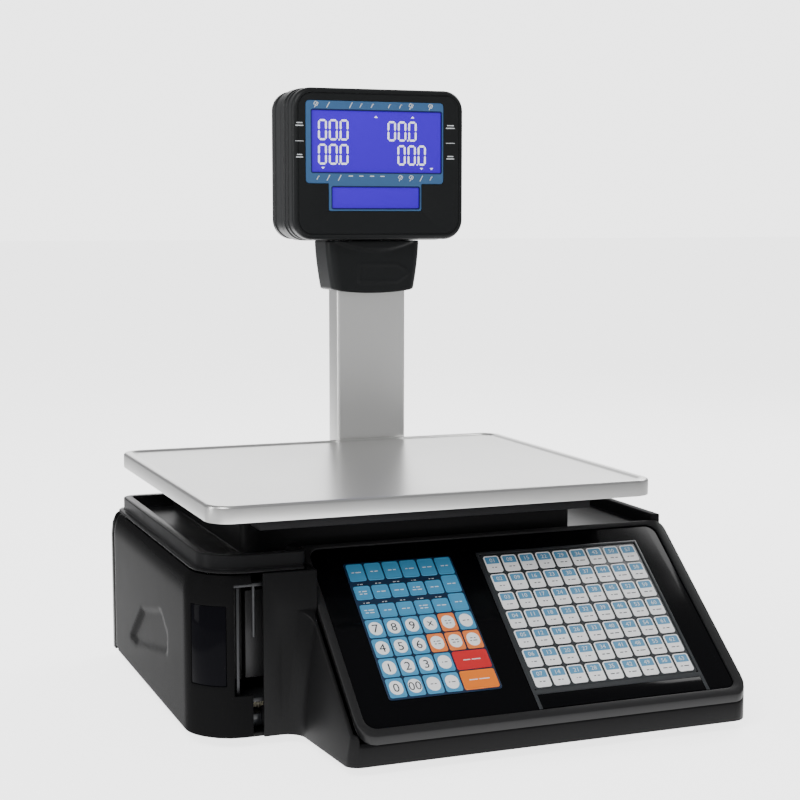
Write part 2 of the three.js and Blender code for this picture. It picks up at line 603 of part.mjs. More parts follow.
// ---- Console ------------------------------------------------------------------
function consoleOutline() {
  return [
    [CONSOLE_LEFT, CONSOLE_TOP.y, 3],
    [CONSOLE_LEFT, FRONT_Y, 12],
    [HALF_WIDTH, FRONT_Y, 12],
    [HALF_WIDTH, CONSOLE_TOP.y, 8],
  ];
}

// Keypad blocks in the console frame: left edge, top edge (down the slope), pitch and count.
const FUNCTION_KEYS = { left: 31, top: 21.6, pitchX: 14.5, pitchY: 18, columns: 6, rows: 7, gap: 1.4 };
const PLU_KEYS = { left: 144, top: 23.8, pitchX: 15.05, pitchY: 18.4, columns: 9, rows: 7, gap: 1.3 };
const KEY_RISE = 0.6;
const POCKET_BOTTOM = 170.4;

function keyBlock({ left, top, pitchX, pitchY, columns, rows, gap }, wide = () => 1) {
  const z = -PANEL_RECESS + GAP;
  const web = box(left - 1, left + columns * pitchX + 1, -top - rows * pitchY - 1, -top + 1, z, z + 0.5);
  const caps = [];
  for (let row = 0; row < rows; row += 1) {
    for (let column = 0; column < columns; column += wide(row, column)) {
      const x0 = left + column * pitchX + gap / 2;
      const x1 = left + (column + wide(row, column)) * pitchX - gap / 2;
      const y1 = -top - row * pitchY - gap / 2;
      caps.push(box(x0, x1, y1 - pitchY + gap, y1, z + 0.2, z + 0.5 + KEY_RISE));
    }
  }
  return join(web, ...caps);
}

function buildConsole() {
  const slab = cut(
    beyond(consoleCorner.clone().addScaledVector(outward, -BEZEL_THICKNESS), outward),
    beyond(consoleCorner, outward),
  );
  const toWorld = new THREE.Matrix4().makeRotationX(slope).setPosition(consoleCorner);
  const rail = { left: 6.5, right: 8, top: 3.8, bottom: 6.5 };
  const inside = (inset) =>
    rectangle(
      rail.left + inset,
      consoleWidth - rail.right - inset,
      -slopeLength + rail.bottom + inset,
      -rail.top - inset,
      9 - inset,
    );
  const hole = new THREE.ExtrudeGeometry(outline(inside(0)), { depth: 20, bevelEnabled: false });
  hole.translate(0, 0, -12).applyMatrix4(toWorld);
  const ring = cut(prism(consoleOutline(), 10, 160).intersect(slab), solid(hole));
  add("console_bezel", ring, black());

  const panel = prism(inside(GAP), -PANEL_RECESS - PANEL_THICKNESS, -PANEL_RECESS);
  add("keypad_panel", panel, blackGloss(), consoleGroup);
  const wideKeys = (row, column) => (row >= 5 && column === 4 ? 2 : 1);
  add("function_keypad", keyBlock(FUNCTION_KEYS, wideKeys), material(0x4f9fc8, 0.35), consoleGroup);
  add("plu_keypad", keyBlock(PLU_KEYS), material(0xe9eff2, 0.35), consoleGroup);

  const { left, top, pitchX, pitchY, columns, rows } = PLU_KEYS;
  const right = left + columns * pitchX;
  const foot = top + rows * pitchY;
  const z = -PANEL_RECESS + GAP;
  const frame = cut(
    box(left - 3.5, right + 3.5, -POCKET_BOTTOM, -top + 3.5, z, z + 1),
    box(left - 1 - GAP, right + 1 + GAP, -foot - 1 - GAP, -top + 1 + GAP, z - 1, z + 2),
    box(left - 1, right + 1, -POCKET_BOTTOM - 1, -foot - 5, z - 1, z + 2),
  );
  add("plu_frame", frame, material(0x55585b, 0.4, 0.3), consoleGroup);
  const strip = box(left - 0.7, right + 0.7, -POCKET_BOTTOM + 0.5, -foot - 5 - GAP, z, z + 0.7);
  add("plu_card_strip", strip, blackGloss(), consoleGroup);
  const boardDepth = PANEL_RECESS + PANEL_THICKNESS;
  add("keypad_board", box(24, 292, -160, -14, -boardDepth - 4, -boardDepth - 2.4), circuit(), consoleGroup);
}

function buildElectronics() {
  const z = PLATE_TOP + 10;
  const posts = [
    [-70, -185],
    [108, -185],
    [-70, -108],
    [108, -108],
  ].map(([x, y]) => rod(x, y, PLATE_TOP + GAP, z + 0.5, 3, 8));
  const chips = [
    [-40, -160, 28, 28, 3],
    [20, -150, 22, 22, 3],
    [70, -170, 40, 12, 9],
    [-20, -120, 60, 9, 8],
  ].map(([x, y, w, d, h]) => box(x, x + w, y, y + d, z + 1, z + 1.6 + h));
  add("mainboard", join(box(-78, 116, -193, -100, z, z + 1.6), ...posts, ...chips), circuit());
  const feet = [72, 168].flatMap((x) =>
    [16, 70].map((y) => box(x - 4, x + 4, y, y + 10, PLATE_TOP + GAP, PLATE_TOP + 7)),
  );
  const supply = join(box(64, 176, 12, 84, PLATE_TOP + 6, 52), ...feet);
  add("power_supply", supply, material(0xb4b7b9, 0.4, 0.8));
}

// ---- Rear connections -----------------------------------------------------------
const INLET = { x: -88, z: 63, width: 27, height: 20 };
const ROCKER = { x: -88, z: 36, width: 19, height: 12.5 };
const LAN = { x: -58, z: 36, width: 16, height: 13.5, mouth: { width: 11.8, height: 8.2 } };
const SERIAL = { x: PORTS.right - 22, z: 63, width: 30, height: 12.5 };

function portBlock({ x, z, width, height }, grow, y0, y1) {
  return box(x - width / 2 - grow, x + width / 2 + grow, y0, y1, z - height / 2 - grow, z + height / 2 + grow);
}

function buildPorts() {
  const y0 = BACK_Y + GAP;
  const y1 = y0 + PORTS.thickness;
  const sheet = prismY(rectangle(PORTS.left, PORTS.right, PORTS.bottom, PORTS.top, 3), y0, y1);
  const cuts = [INLET, ROCKER, LAN, SERIAL].map((port) => portBlock(port, GAP, y0 - 1, y1 + 1));
  add("port_panel", cut(sheet, ...cuts), zinc());

  const socketDepth = 15;
  const shell = join(portBlock(INLET, 0, BACK_Y - 22, y1 + 1), portBlock(INLET, 3, y1 + GAP, y1 + 2.3));
  const mouth = portBlock({ ...INLET, width: 24, height: 16.5 }, 0, y1 + 2.3 - socketDepth, y1 + 3);
  const blade = (dx, dz) =>
    box(INLET.x + dx - 1, INLET.x + dx + 1, y1 - socketDepth, y1 - 1, INLET.z + dz - 2, INLET.z + dz + 2);
  add("power_inlet", join(cut(shell, mouth), blade(-7, -2), blade(0, 2), blade(7, -2)), black());

  const frame = join(portBlock(ROCKER, 0, BACK_Y - 12, y1 + 1), portBlock(ROCKER, 1.5, y1 + GAP, y1 + 1.5));
  const well = portBlock({ ...ROCKER, width: 16, height: 9.5 }, 0, y1 - 8, y1 + 3);
  add("switch_frame", cut(frame, well), black());
  const halfWell = 8 - GAP;
  const keel = box(ROCKER.x - halfWell, ROCKER.x + halfWell, y1 - 3, y1 + 1.8, ROCKER.z - 3.9, ROCKER.z + 3.9);
  add("power_rocker", keel, material(0x8e1b1b, 0.3));

  const jack = portBlock(LAN, 0, BACK_Y - 14, y1 + 0.6);
  add("lan_port", cut(jack, portBlock({ ...LAN, ...LAN.mouth }, 0, y1 - 10, y1 + 2)), zinc());
  const nose = prismY(
    rectangle(SERIAL.x - 8.5, SERIAL.x + 8.5, SERIAL.z - 4.2, SERIAL.z + 4.2, 2),
    y1 - 1,
    y1 + 6,
  );
  const flange = portBlock(SERIAL, 0, BACK_Y - 8, y1 + 0.6);
  add("serial_port", join(flange, nose), zinc());
}

// ---- Pole and display head ---------------------------------------------------------
function bracketScrewPlaces() {
  const reach = POLE.width / 2 + 12.5;
  return [-1, 1].map((side) => [POLE.x + side * reach, 84]);
}

function buildPole() {
  const half = { x: POLE.width / 2, y: POLE.depth / 2 };
  const at = (grow) =>
    rectangle(
      POLE.x - half.x - grow,
      POLE.x + half.x + grow,
      POLE.y - half.y - grow,
      POLE.y + half.y + grow,
      Math.max(3 + grow, 0.5),
    );
  const bore = prism(at(-POLE.wall), POLE.bottom - 1, POLE.top + 1, 3);
  add("pole", cut(prism(at(0), POLE.bottom, POLE.top, 3), bore), material(0xa7a9ab, 0.35, 0.9));

  const y0 = BACK_Y + GAP;
  const inner = half.x + GAP;
  const back = POLE.y + half.y + GAP;
  const low = POLE.bottom - GAP - 3;
  const channel = cut(
    box(POLE.x - inner - 3, POLE.x + inner + 3, y0, back + 3, low, 124),
    box(POLE.x - inner, POLE.x + inner, y0 - 1, back, low + 3, 125),
  );
  const reach = inner + BRACKET_EAR;
  const flanges = box(POLE.x - reach, POLE.x + reach, y0, y0 + 3, low, 124);
  const gate = box(POLE.x - inner, POLE.x + inner, y0 - 1, y0 + 4, low + 3, 125);
  const places = bracketScrewPlaces();
  const holes = places.map(([x, z]) => rodY(x, z, y0 - 1, y0 + 4, SCREW.shank + GAP, 12));
  add("pole_bracket", cut(join(channel, cut(flanges, gate)), ...holes), black());
  places.forEach(([x, z], index) => {
    const head = rodY(x, z, y0 + 3 + GAP, y0 + 5.6, SCREW.head, 12);
    const shank = rodY(x, z, BACK_Y - WALL - 5, y0 + 4, SCREW.shank, 12);
    add("bracket_screw_" + (index + 1), join(head, shank), zinc());
  });

  const { top, bottom, wide, narrow, depth } = COLLAR;
  const profile = [
    [POLE.x - wide / 2, top],
    [POLE.x - narrow / 2, bottom + 4, 8],
    [POLE.x, bottom, 60],
    [POLE.x + narrow / 2, bottom + 4, 8],
    [POLE.x + wide / 2, top],
  ];
  const block = prismY(profile, POLE.y - depth / 2, POLE.y + depth / 2);
  const sleeve = prism(at(GAP), bottom - 1, POLE.top + GAP, 3);
  const socket = rod(POLE.x, POLE.y, POLE.top - 1, top + 1, SWIVEL_RADIUS + GAP, 28);
  add("pole_collar", cut(block, sleeve, socket), black());
}

function windowOutline(inset) {
  const { width, height, x, centre, tabWidth, tabHeight } = WINDOW;
  const left = x - width / 2 + inset;
  const right = x + width / 2 - inset;
  const tabLeft = x - tabWidth / 2 + inset;
  const tabRight = x + tabWidth / 2 - inset;
  const low = centre - height / 2 + inset;
  const radius = Math.max(4 - inset, 0.5);
  return [
    [left, centre + height / 2 - inset, radius],
    [left, low, radius],
    [tabLeft, low],
    [tabLeft, low - tabHeight, 2],
    [tabRight, low - tabHeight, 2],
    [tabRight, low],
    [right, low, radius],
    [right, centre + height / 2 - inset, radius],
  ];
}

function buildHead() {
  const group = new THREE.Group();
  group.position.set(POLE.x, HEAD.y, HEAD.bottom);
  scale.add(group);
  const half = HEAD.depth / 2;
  const face = (inset) =>
    rectangle(
      -HEAD.width / 2 + inset,
      HEAD.width / 2 - inset,
      inset,
      HEAD.height - inset,
      HEAD.radius - inset,
    );
  const offset = POLE.y - HEAD.y;
  const neck = rod(0, offset, -1, WALL + 1, SWIVEL_RADIUS + GAP, 28);
  const sides = [
    { name: "front", sign: -1 },
    { name: "rear", sign: 1 },
  ];
  sides.forEach(({ name, sign }) => {
    const span = (from, to) => (sign < 0 ? [-to, -from] : [from, to]);
    const slab = (corners, from, to) => prismY(corners, ...span(from, to));
    const mirror = (corners) => (sign < 0 ? corners : corners.map(([x, z, r]) => [-x, z, r]).reverse());
    const shell = cut(
      slab(face(0), 0.2, half),
      slab(face(WALL), -1, half - WALL),
      slab(mirror(windowOutline(0)), half - WALL - 1, half + 1),
      neck,
    );
    add("head_shell_" + name, shell, black(), group);
    const glass = slab(mirror(windowOutline(GAP)), half - 2.4, half - 0.6);
    add("display_window_" + name, glass, material(0x1e5f8c, 0.1), group);
    const module = slab(mirror(windowOutline(4)), half - 9, half - 3.2);
    add("lcd_module_" + name, module, material(0x4a3cff, 0.3), group);
  });
  const board = box(-72, 72, -0.8, 0.8, 22, HEAD.height - 12);
  add("display_board", board, circuit(), group);
  const stem = join(
    rod(0, offset, POLE.top + 4 - HEAD.bottom, WALL + GAP + 3, SWIVEL_RADIUS, 28),
    rod(0, offset, WALL + GAP, WALL + GAP + 3, SWIVEL_RADIUS + 7, 28),
  );
  add("swivel_stem", stem, material(0x2a2c2e, 0.5), group);
}

buildBasePlate();
buildLowerCase();
buildDeck();
buildFeet();
buildBubbleLevel();
buildLoadCell();
buildReceptor();
buildPan();
buildDoor();
buildPrinterFrame();
buildPrinterTrain();
buildLabelPath();
buildConsole();
buildElectronics();
buildPorts();
buildPole();
buildHead();

export default scale;
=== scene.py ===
"""Looks of a label printing scale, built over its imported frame.

The lengths below are in millimetres; a piece's mesh is scaled to metres when it is
finished, and stays at the origin in the frame's own axes.
"""

import logging
import math
from collections.abc import Callable, Iterable, Sequence
from dataclasses import dataclass, field
from enum import Enum

import bmesh
import bpy
from mathutils import Matrix, Vector


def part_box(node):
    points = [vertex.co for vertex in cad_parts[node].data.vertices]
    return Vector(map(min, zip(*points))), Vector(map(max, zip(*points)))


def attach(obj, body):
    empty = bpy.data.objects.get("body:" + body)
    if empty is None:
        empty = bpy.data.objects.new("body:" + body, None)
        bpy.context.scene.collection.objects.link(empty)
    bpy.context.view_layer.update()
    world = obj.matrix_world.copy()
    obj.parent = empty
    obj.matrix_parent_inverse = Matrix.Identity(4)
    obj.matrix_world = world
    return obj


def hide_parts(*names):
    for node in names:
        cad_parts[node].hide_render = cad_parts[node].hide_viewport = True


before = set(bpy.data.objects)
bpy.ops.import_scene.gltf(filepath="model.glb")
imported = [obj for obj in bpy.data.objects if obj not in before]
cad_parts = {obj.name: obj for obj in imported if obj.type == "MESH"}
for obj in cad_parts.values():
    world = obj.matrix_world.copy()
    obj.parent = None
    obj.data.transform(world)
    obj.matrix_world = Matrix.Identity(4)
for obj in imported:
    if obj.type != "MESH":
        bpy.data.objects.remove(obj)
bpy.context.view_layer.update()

LOG = logging.getLogger("scale")
MM = 0.001
Point = tuple[float, float]
Area = tuple[float, float, float, float]
Place = Callable[[float, float, float], Vector]
Ring = list[bmesh.types.BMVert]
COAT_ROUGHNESS = 0.06
LEAST_ROUGHNESS = 0.02
BLOTCH_DETAIL = 3.0
GRAIN_DETAIL = 2.0
CORNER_PULL = 0.9
WELD = 0.01
FLAT_ANGLE = 0.6
MOULDED_ANGLE = 32.0
DOOR_ANGLE = 60.0


# ---- Finishes ---------------------------------------------------------------
@dataclass(frozen=True)
class Finish:
    """One surface: its colour and gloss, and the fine texture that breaks them up.

    Args:
        name: The material's name.
        colour: Linear base colour.
        roughness: Middle of the roughness range.
        spread: How far the roughness wanders either side of the middle.
        metallic: 1 for bare metal.
        grain: Size of the surface texture along X, Y and Z, in millimetres.
        relief: Depth of that texture, in millimetres.
        blotch: Size of the slow change in roughness, in millimetres.
        coat: Weight of a clear top layer.
        glow: Strength of light given off in the base colour.
        index: Refractive index. The black plastics have less than their real 1.5, so that
            they mirror less of the bright floor.
    """

    name: str
    colour: tuple[float, float, float]
    roughness: float
    spread: float = 0.05
    metallic: float = 0.0
    grain: tuple[float, float, float] = (0.6, 0.6, 0.6)
    relief: float = 0.02
    blotch: float = 25.0
    coat: float = 0.0
    glow: float = 0.0
    index: float = 1.45

    def _noise(self, tree: bpy.types.NodeTree, size: Sequence[float], detail: float) -> bpy.types.Node:
        """Returns noise of that size along each axis, read from the piece's own coordinates."""
        coords = tree.nodes.new("ShaderNodeTexCoord")
        mapping = tree.nodes.new("ShaderNodeMapping")
        mapping.inputs["Scale"].default_value = [1.0 / (s * MM) for s in size]
        noise = tree.nodes.new("ShaderNodeTexNoise")
        noise.inputs["Scale"].default_value = 1.0
        noise.inputs["Detail"].default_value = detail
        tree.links.new(coords.outputs["Object"], mapping.inputs["Vector"])
        tree.links.new(mapping.outputs["Vector"], noise.inputs["Vector"])
        return noise

    def material(self) -> bpy.types.Material:
        """Builds the node material, or returns the one already built."""
        label = self.name + "_finish"
        found = bpy.data.materials.get(label)
        if found:
            return found
        made = bpy.data.materials.new(label)
        made.use_nodes = True
        tree = made.node_tree
        shader = tree.nodes["Principled BSDF"]
        shader.inputs["Base Color"].default_value = (*self.colour, 1.0)
        shader.inputs["Metallic"].default_value = self.metallic
        shader.inputs["Coat Weight"].default_value = self.coat
        shader.inputs["Coat Roughness"].default_value = COAT_ROUGHNESS
        shader.inputs["IOR"].default_value = self.index
        shader.inputs["Emission Color"].default_value = (*self.colour, 1.0)
        shader.inputs["Emission Strength"].default_value = self.glow
        wander = tree.nodes.new("ShaderNodeMapRange")
        wander.inputs["To Min"].default_value = max(self.roughness - self.spread, LEAST_ROUGHNESS)
        wander.inputs["To Max"].default_value = self.roughness + self.spread
        blotch = self._noise(tree, (self.blotch,) * 3, BLOTCH_DETAIL)
        tree.links.new(blotch.outputs["Fac"], wander.inputs["Value"])
        tree.links.new(wander.outputs["Result"], shader.inputs["Roughness"])
        bump = tree.nodes.new("ShaderNodeBump")
        bump.inputs["Strength"].default_value = 1.0
        bump.inputs["Distance"].default_value = self.relief * MM
        grain = self._noise(tree, self.grain, GRAIN_DETAIL)
        tree.links.new(grain.outputs["Fac"], bump.inputs["Height"])
        tree.links.new(bump.outputs["Normal"], shader.inputs["Normal"])
        return made


class Look(Enum):
    """The finishes of the whole scale; three of them darken parts as painted shade."""

    CASE = Finish("moulded_case", (0.0055, 0.0055, 0.0058), 0.40, 0.05, relief=0.010, index=1.17)
    DECK = Finish("moulded_deck", (0.011, 0.011, 0.0115), 0.34, 0.05, relief=0.010, index=1.10)
    DOOR = Finish("polished_door", (0.006, 0.006, 0.0062), 0.24, 0.03, grain=(14, 14, 14), relief=0.006, index=1.025)
    BEZEL = Finish("console_bezel", (0.016, 0.016, 0.0165), 0.38, 0.05, relief=0.008, index=1.27)
    PANEL = Finish("gloss_panel", (0.0018, 0.0019, 0.0024), 0.12, 0.02, grain=(14, 14, 14), relief=0.012, index=1.18)
    HEAD = Finish("head_shell", (0.0135, 0.0145, 0.015), 0.34, 0.05, relief=0.008, index=1.26)
    STEEL = Finish(
        "brushed_steel", (0.60, 0.60, 0.59), 0.30, 0.02, 1.0, grain=(60, 0.7, 0.7), relief=0.0015, blotch=90
    )
    POLE = Finish("drawn_pole", (0.86, 0.86, 0.84), 0.34, 0.02, 1.0, grain=(0.7, 0.7, 70), relief=0.0015, blotch=90)
    PLATED = Finish("zinc_plate", (0.55, 0.57, 0.60), 0.33, 0.10, 1.0, blotch=6.0, relief=0.008)
    ALLOY = Finish("machined_alloy", (0.66, 0.67, 0.68), 0.30, 0.06, 1.0, grain=(25, 0.4, 0.4))
    # Painted shade: the zinc-plated frame and the steel peel bar are darkened to near black, standing in for the
    # shade inside the printer slot.
    SHADED = Finish("printer_plate_painted_shade", (0.026, 0.027, 0.029), 0.40, 0.08, 0.5, blotch=8.0, relief=0.008)
    # Painted shade: the aluminium print head is darkened to near black, standing in for the shade inside the printer
    # slot.
    SHADED_HEATSINK = Finish("print_head", (0.026, 0.026, 0.027), 0.46, 0.06, 0.5, grain=(25, 0.4, 0.4))
    # Painted shade: the cast carrier and its pedestal are darkened to near black, standing in for the shade under the
    # pan.
    SHADED_CAST = Finish(
        "carrier_painted_shade", (0.008, 0.008, 0.009), 0.52, 0.08, 0.1, index=1.25, grain=(1.2, 1.2, 1.2), relief=0.05
    )
    CAN = Finish("motor_can", (0.05, 0.053, 0.058), 0.4, 0.08, 0.7)
    RUBBER = Finish("rubber", (0.018, 0.018, 0.018), 0.78, 0.06, grain=(0.4, 0.4, 0.4), relief=0.03)
    NYLON = Finish("gear_nylon", (0.68, 0.63, 0.48), 0.45, 0.05)
    LEVER = Finish("lever_green", (0.03, 0.24, 0.09), 0.35, 0.05)
    TRIM = Finish("dark_trim", (0.022, 0.023, 0.024), 0.45, 0.06, grain=(0.4, 0.4, 0.4), relief=0.015)
    ROCKER = Finish("rocker_red", (0.42, 0.015, 0.012), 0.28, 0.04)
    SPOOL = Finish("spool_grey", (0.17, 0.18, 0.19), 0.45, 0.05)
    PAPER = Finish("label_paper", (0.80, 0.79, 0.74), 0.72, 0.05, grain=(40, 40, 0.12), relief=0.04)
    CARD = Finish("card_core", (0.40, 0.29, 0.17), 0.85, 0.05, grain=(0.5, 0.5, 3), relief=0.05)
    CIRCUIT = Finish("circuit_board", (0.012, 0.10, 0.035), 0.38, 0.08, grain=(1.5, 1.5, 1.5), relief=0.04)
    VIAL = Finish("level_vial", (0.46, 0.72, 0.08), 0.08, 0.02, coat=0.5)
    BUBBLE = Finish("level_bubble", (0.85, 0.95, 0.60), 0.10, 0.02)
    SMOKED = Finish("smoked_window", (0.003, 0.003, 0.004), 0.09, 0.02, grain=(14, 14, 14), relief=0.003, index=1.07)
    FRAME = Finish("keypad_frame", (0.030, 0.033, 0.036), 0.34, 0.05, 0.1)
    WEB = Finish("key_membrane", (0.006, 0.022, 0.055), 0.36, 0.05)
    BLUE = Finish("key_blue", (0.062, 0.30, 0.53), 0.34, 0.05, relief=0.006)
    PALE = Finish("key_band", (0.095, 0.29, 0.48), 0.38, 0.05, relief=0.006)
    WHITE = Finish("key_white", (0.94, 0.95, 0.96), 0.38, 0.05, relief=0.006)
    ORANGE = Finish("key_orange", (0.86, 0.22, 0.05), 0.36, 0.05, relief=0.006)
    RED = Finish("key_red", (0.62, 0.02, 0.025), 0.34, 0.05, relief=0.006)
    AMBER = Finish("key_amber", (0.88, 0.20, 0.012), 0.34, 0.05, relief=0.006)
    INK = Finish("dark_ink", (0.02, 0.025, 0.035), 0.5, 0.05)
    PRINT = Finish("white_ink", (0.75, 0.78, 0.80), 0.5, 0.05)
    BORDER = Finish("window_print", (0.045, 0.135, 0.30), 0.14, 0.03, relief=0.004, coat=0.6)
    EDGE = Finish("window_outline", (0.006, 0.012, 0.09), 0.14, 0.03, relief=0.004, coat=0.6)
    LCD = Finish("lcd_violet", (0.060, 0.002, 0.62), 0.16, 0.03, relief=0.004, index=1.12, glow=0.30)
    SEGMENT = Finish("lcd_segment", (0.90, 0.91, 1.0), 0.3, 0.03, relief=0.002, glow=0.75)


class Smooth(Enum):
    """Angle above which an edge stays sharp, in degrees."""

    SOFT = 50
    NORMAL = 35
    CRISP = 24


# ---- Outlines ---------------------------------------------------------------
def rounded_rectangle(
    left: float, right: float, low: float, high: float, radius: float, steps: int = 6, sides: int = 1
) -> list[Point]:
    """Corners of a rectangle with rounded corners, anticlockwise from the lower right.

    Args:
        left, right, low, high: The rectangle's sides.
        radius: Corner radius.
        steps: Straight pieces in each corner.
        sides: Pieces that each straight side is divided into.

    Returns:
        Points in order, always 4 * (steps + sides) of them.
    """
    centres = [
        (right - radius, low + radius, -90),
        (right - radius, high - radius, 0),
        (left + radius, high - radius, 90),
        (left + radius, low + radius, 180),
    ]
    points: list[Point] = []
    for index, (x, y, start) in enumerate(centres):
        for step in range(steps + 1):
            angle = math.radians(start + 90 * step / steps)
            points.append((x + radius * math.cos(angle), y + radius * math.sin(angle)))
        next_x, next_y, next_start = centres[(index + 1) % 4]
        angle = math.radians(next_start)
        target = (next_x + radius * math.cos(angle), next_y + radius * math.sin(angle))
        here = points[-1]
        for part in range(1, sides):
            share = part / sides
            points.append((here[0] + (target[0] - here[0]) * share, here[1] + (target[1] - here[1]) * share))
    return points


def rounded_corners(corners: Sequence[tuple[float, float, float]], steps: int = 5) -> list[Point]:
    """Rounds each corner (x, y, radius) of a polygon; a radius of 0 stays sharp."""
    points: list[Point] = []
    count = len(corners)
    for index, (x, y, radius) in enumerate(corners):
        here = Vector((x, y))
        before = (Vector(corners[index - 1][:2]) - here).normalized()
        after = (Vector(corners[(index + 1) % count][:2]) - here).normalized()
        if radius <= 0:
            points.append((x, y))
            continue
        reach = radius / math.tan(before.angle(after) / 2)
        a, b = here + before * reach, here + after * reach
        for step in range(steps + 1):
            t = step / steps
            bend = a * (1 - t) ** 2 + here * 2 * t * (1 - t) * CORNER_PULL + b * t**2
            weight = (1 - t) ** 2 + 2 * t * (1 - t) * CORNER_PULL + t**2
            points.append(tuple(bend / weight))
    return points


def circle(x: float, y: float, radius: float, count: int) -> list[Point]:
    """Points round a circle, anticlockwise."""
    turn = 2 * math.pi / count
    return [(x + radius * math.cos(i * turn), y + radius * math.sin(i * turn)) for i in range(count)]


def smoothstep(value: float) -> float:
    """0 below 0, 1 above 1, and a smooth S between."""
    clamped = min(max(value, 0.0), 1.0)
    return clamped * clamped * (3 - 2 * clamped)


def inside_distance(point: Point, polygon: Sequence[Point]) -> float:
    """How far a point is inside a polygon, below zero outside it."""
    nearest, inside = math.inf, False
    for (ax, ay), (bx, by) in zip(polygon, [*polygon[1:], polygon[0]]):
        side = Vector((bx - ax, by - ay))
        offset = Vector((point[0] - ax, point[1] - ay))
        share = min(max(offset.dot(side) / side.length_squared, 0.0), 1.0)
        nearest = min(nearest, (offset - side * share).length)
        if (ay > point[1]) != (by > point[1]) and point[0] < (bx - ax) * (point[1] - ay) / (by - ay) + ax:
            inside = not inside
    return nearest if inside else -nearest


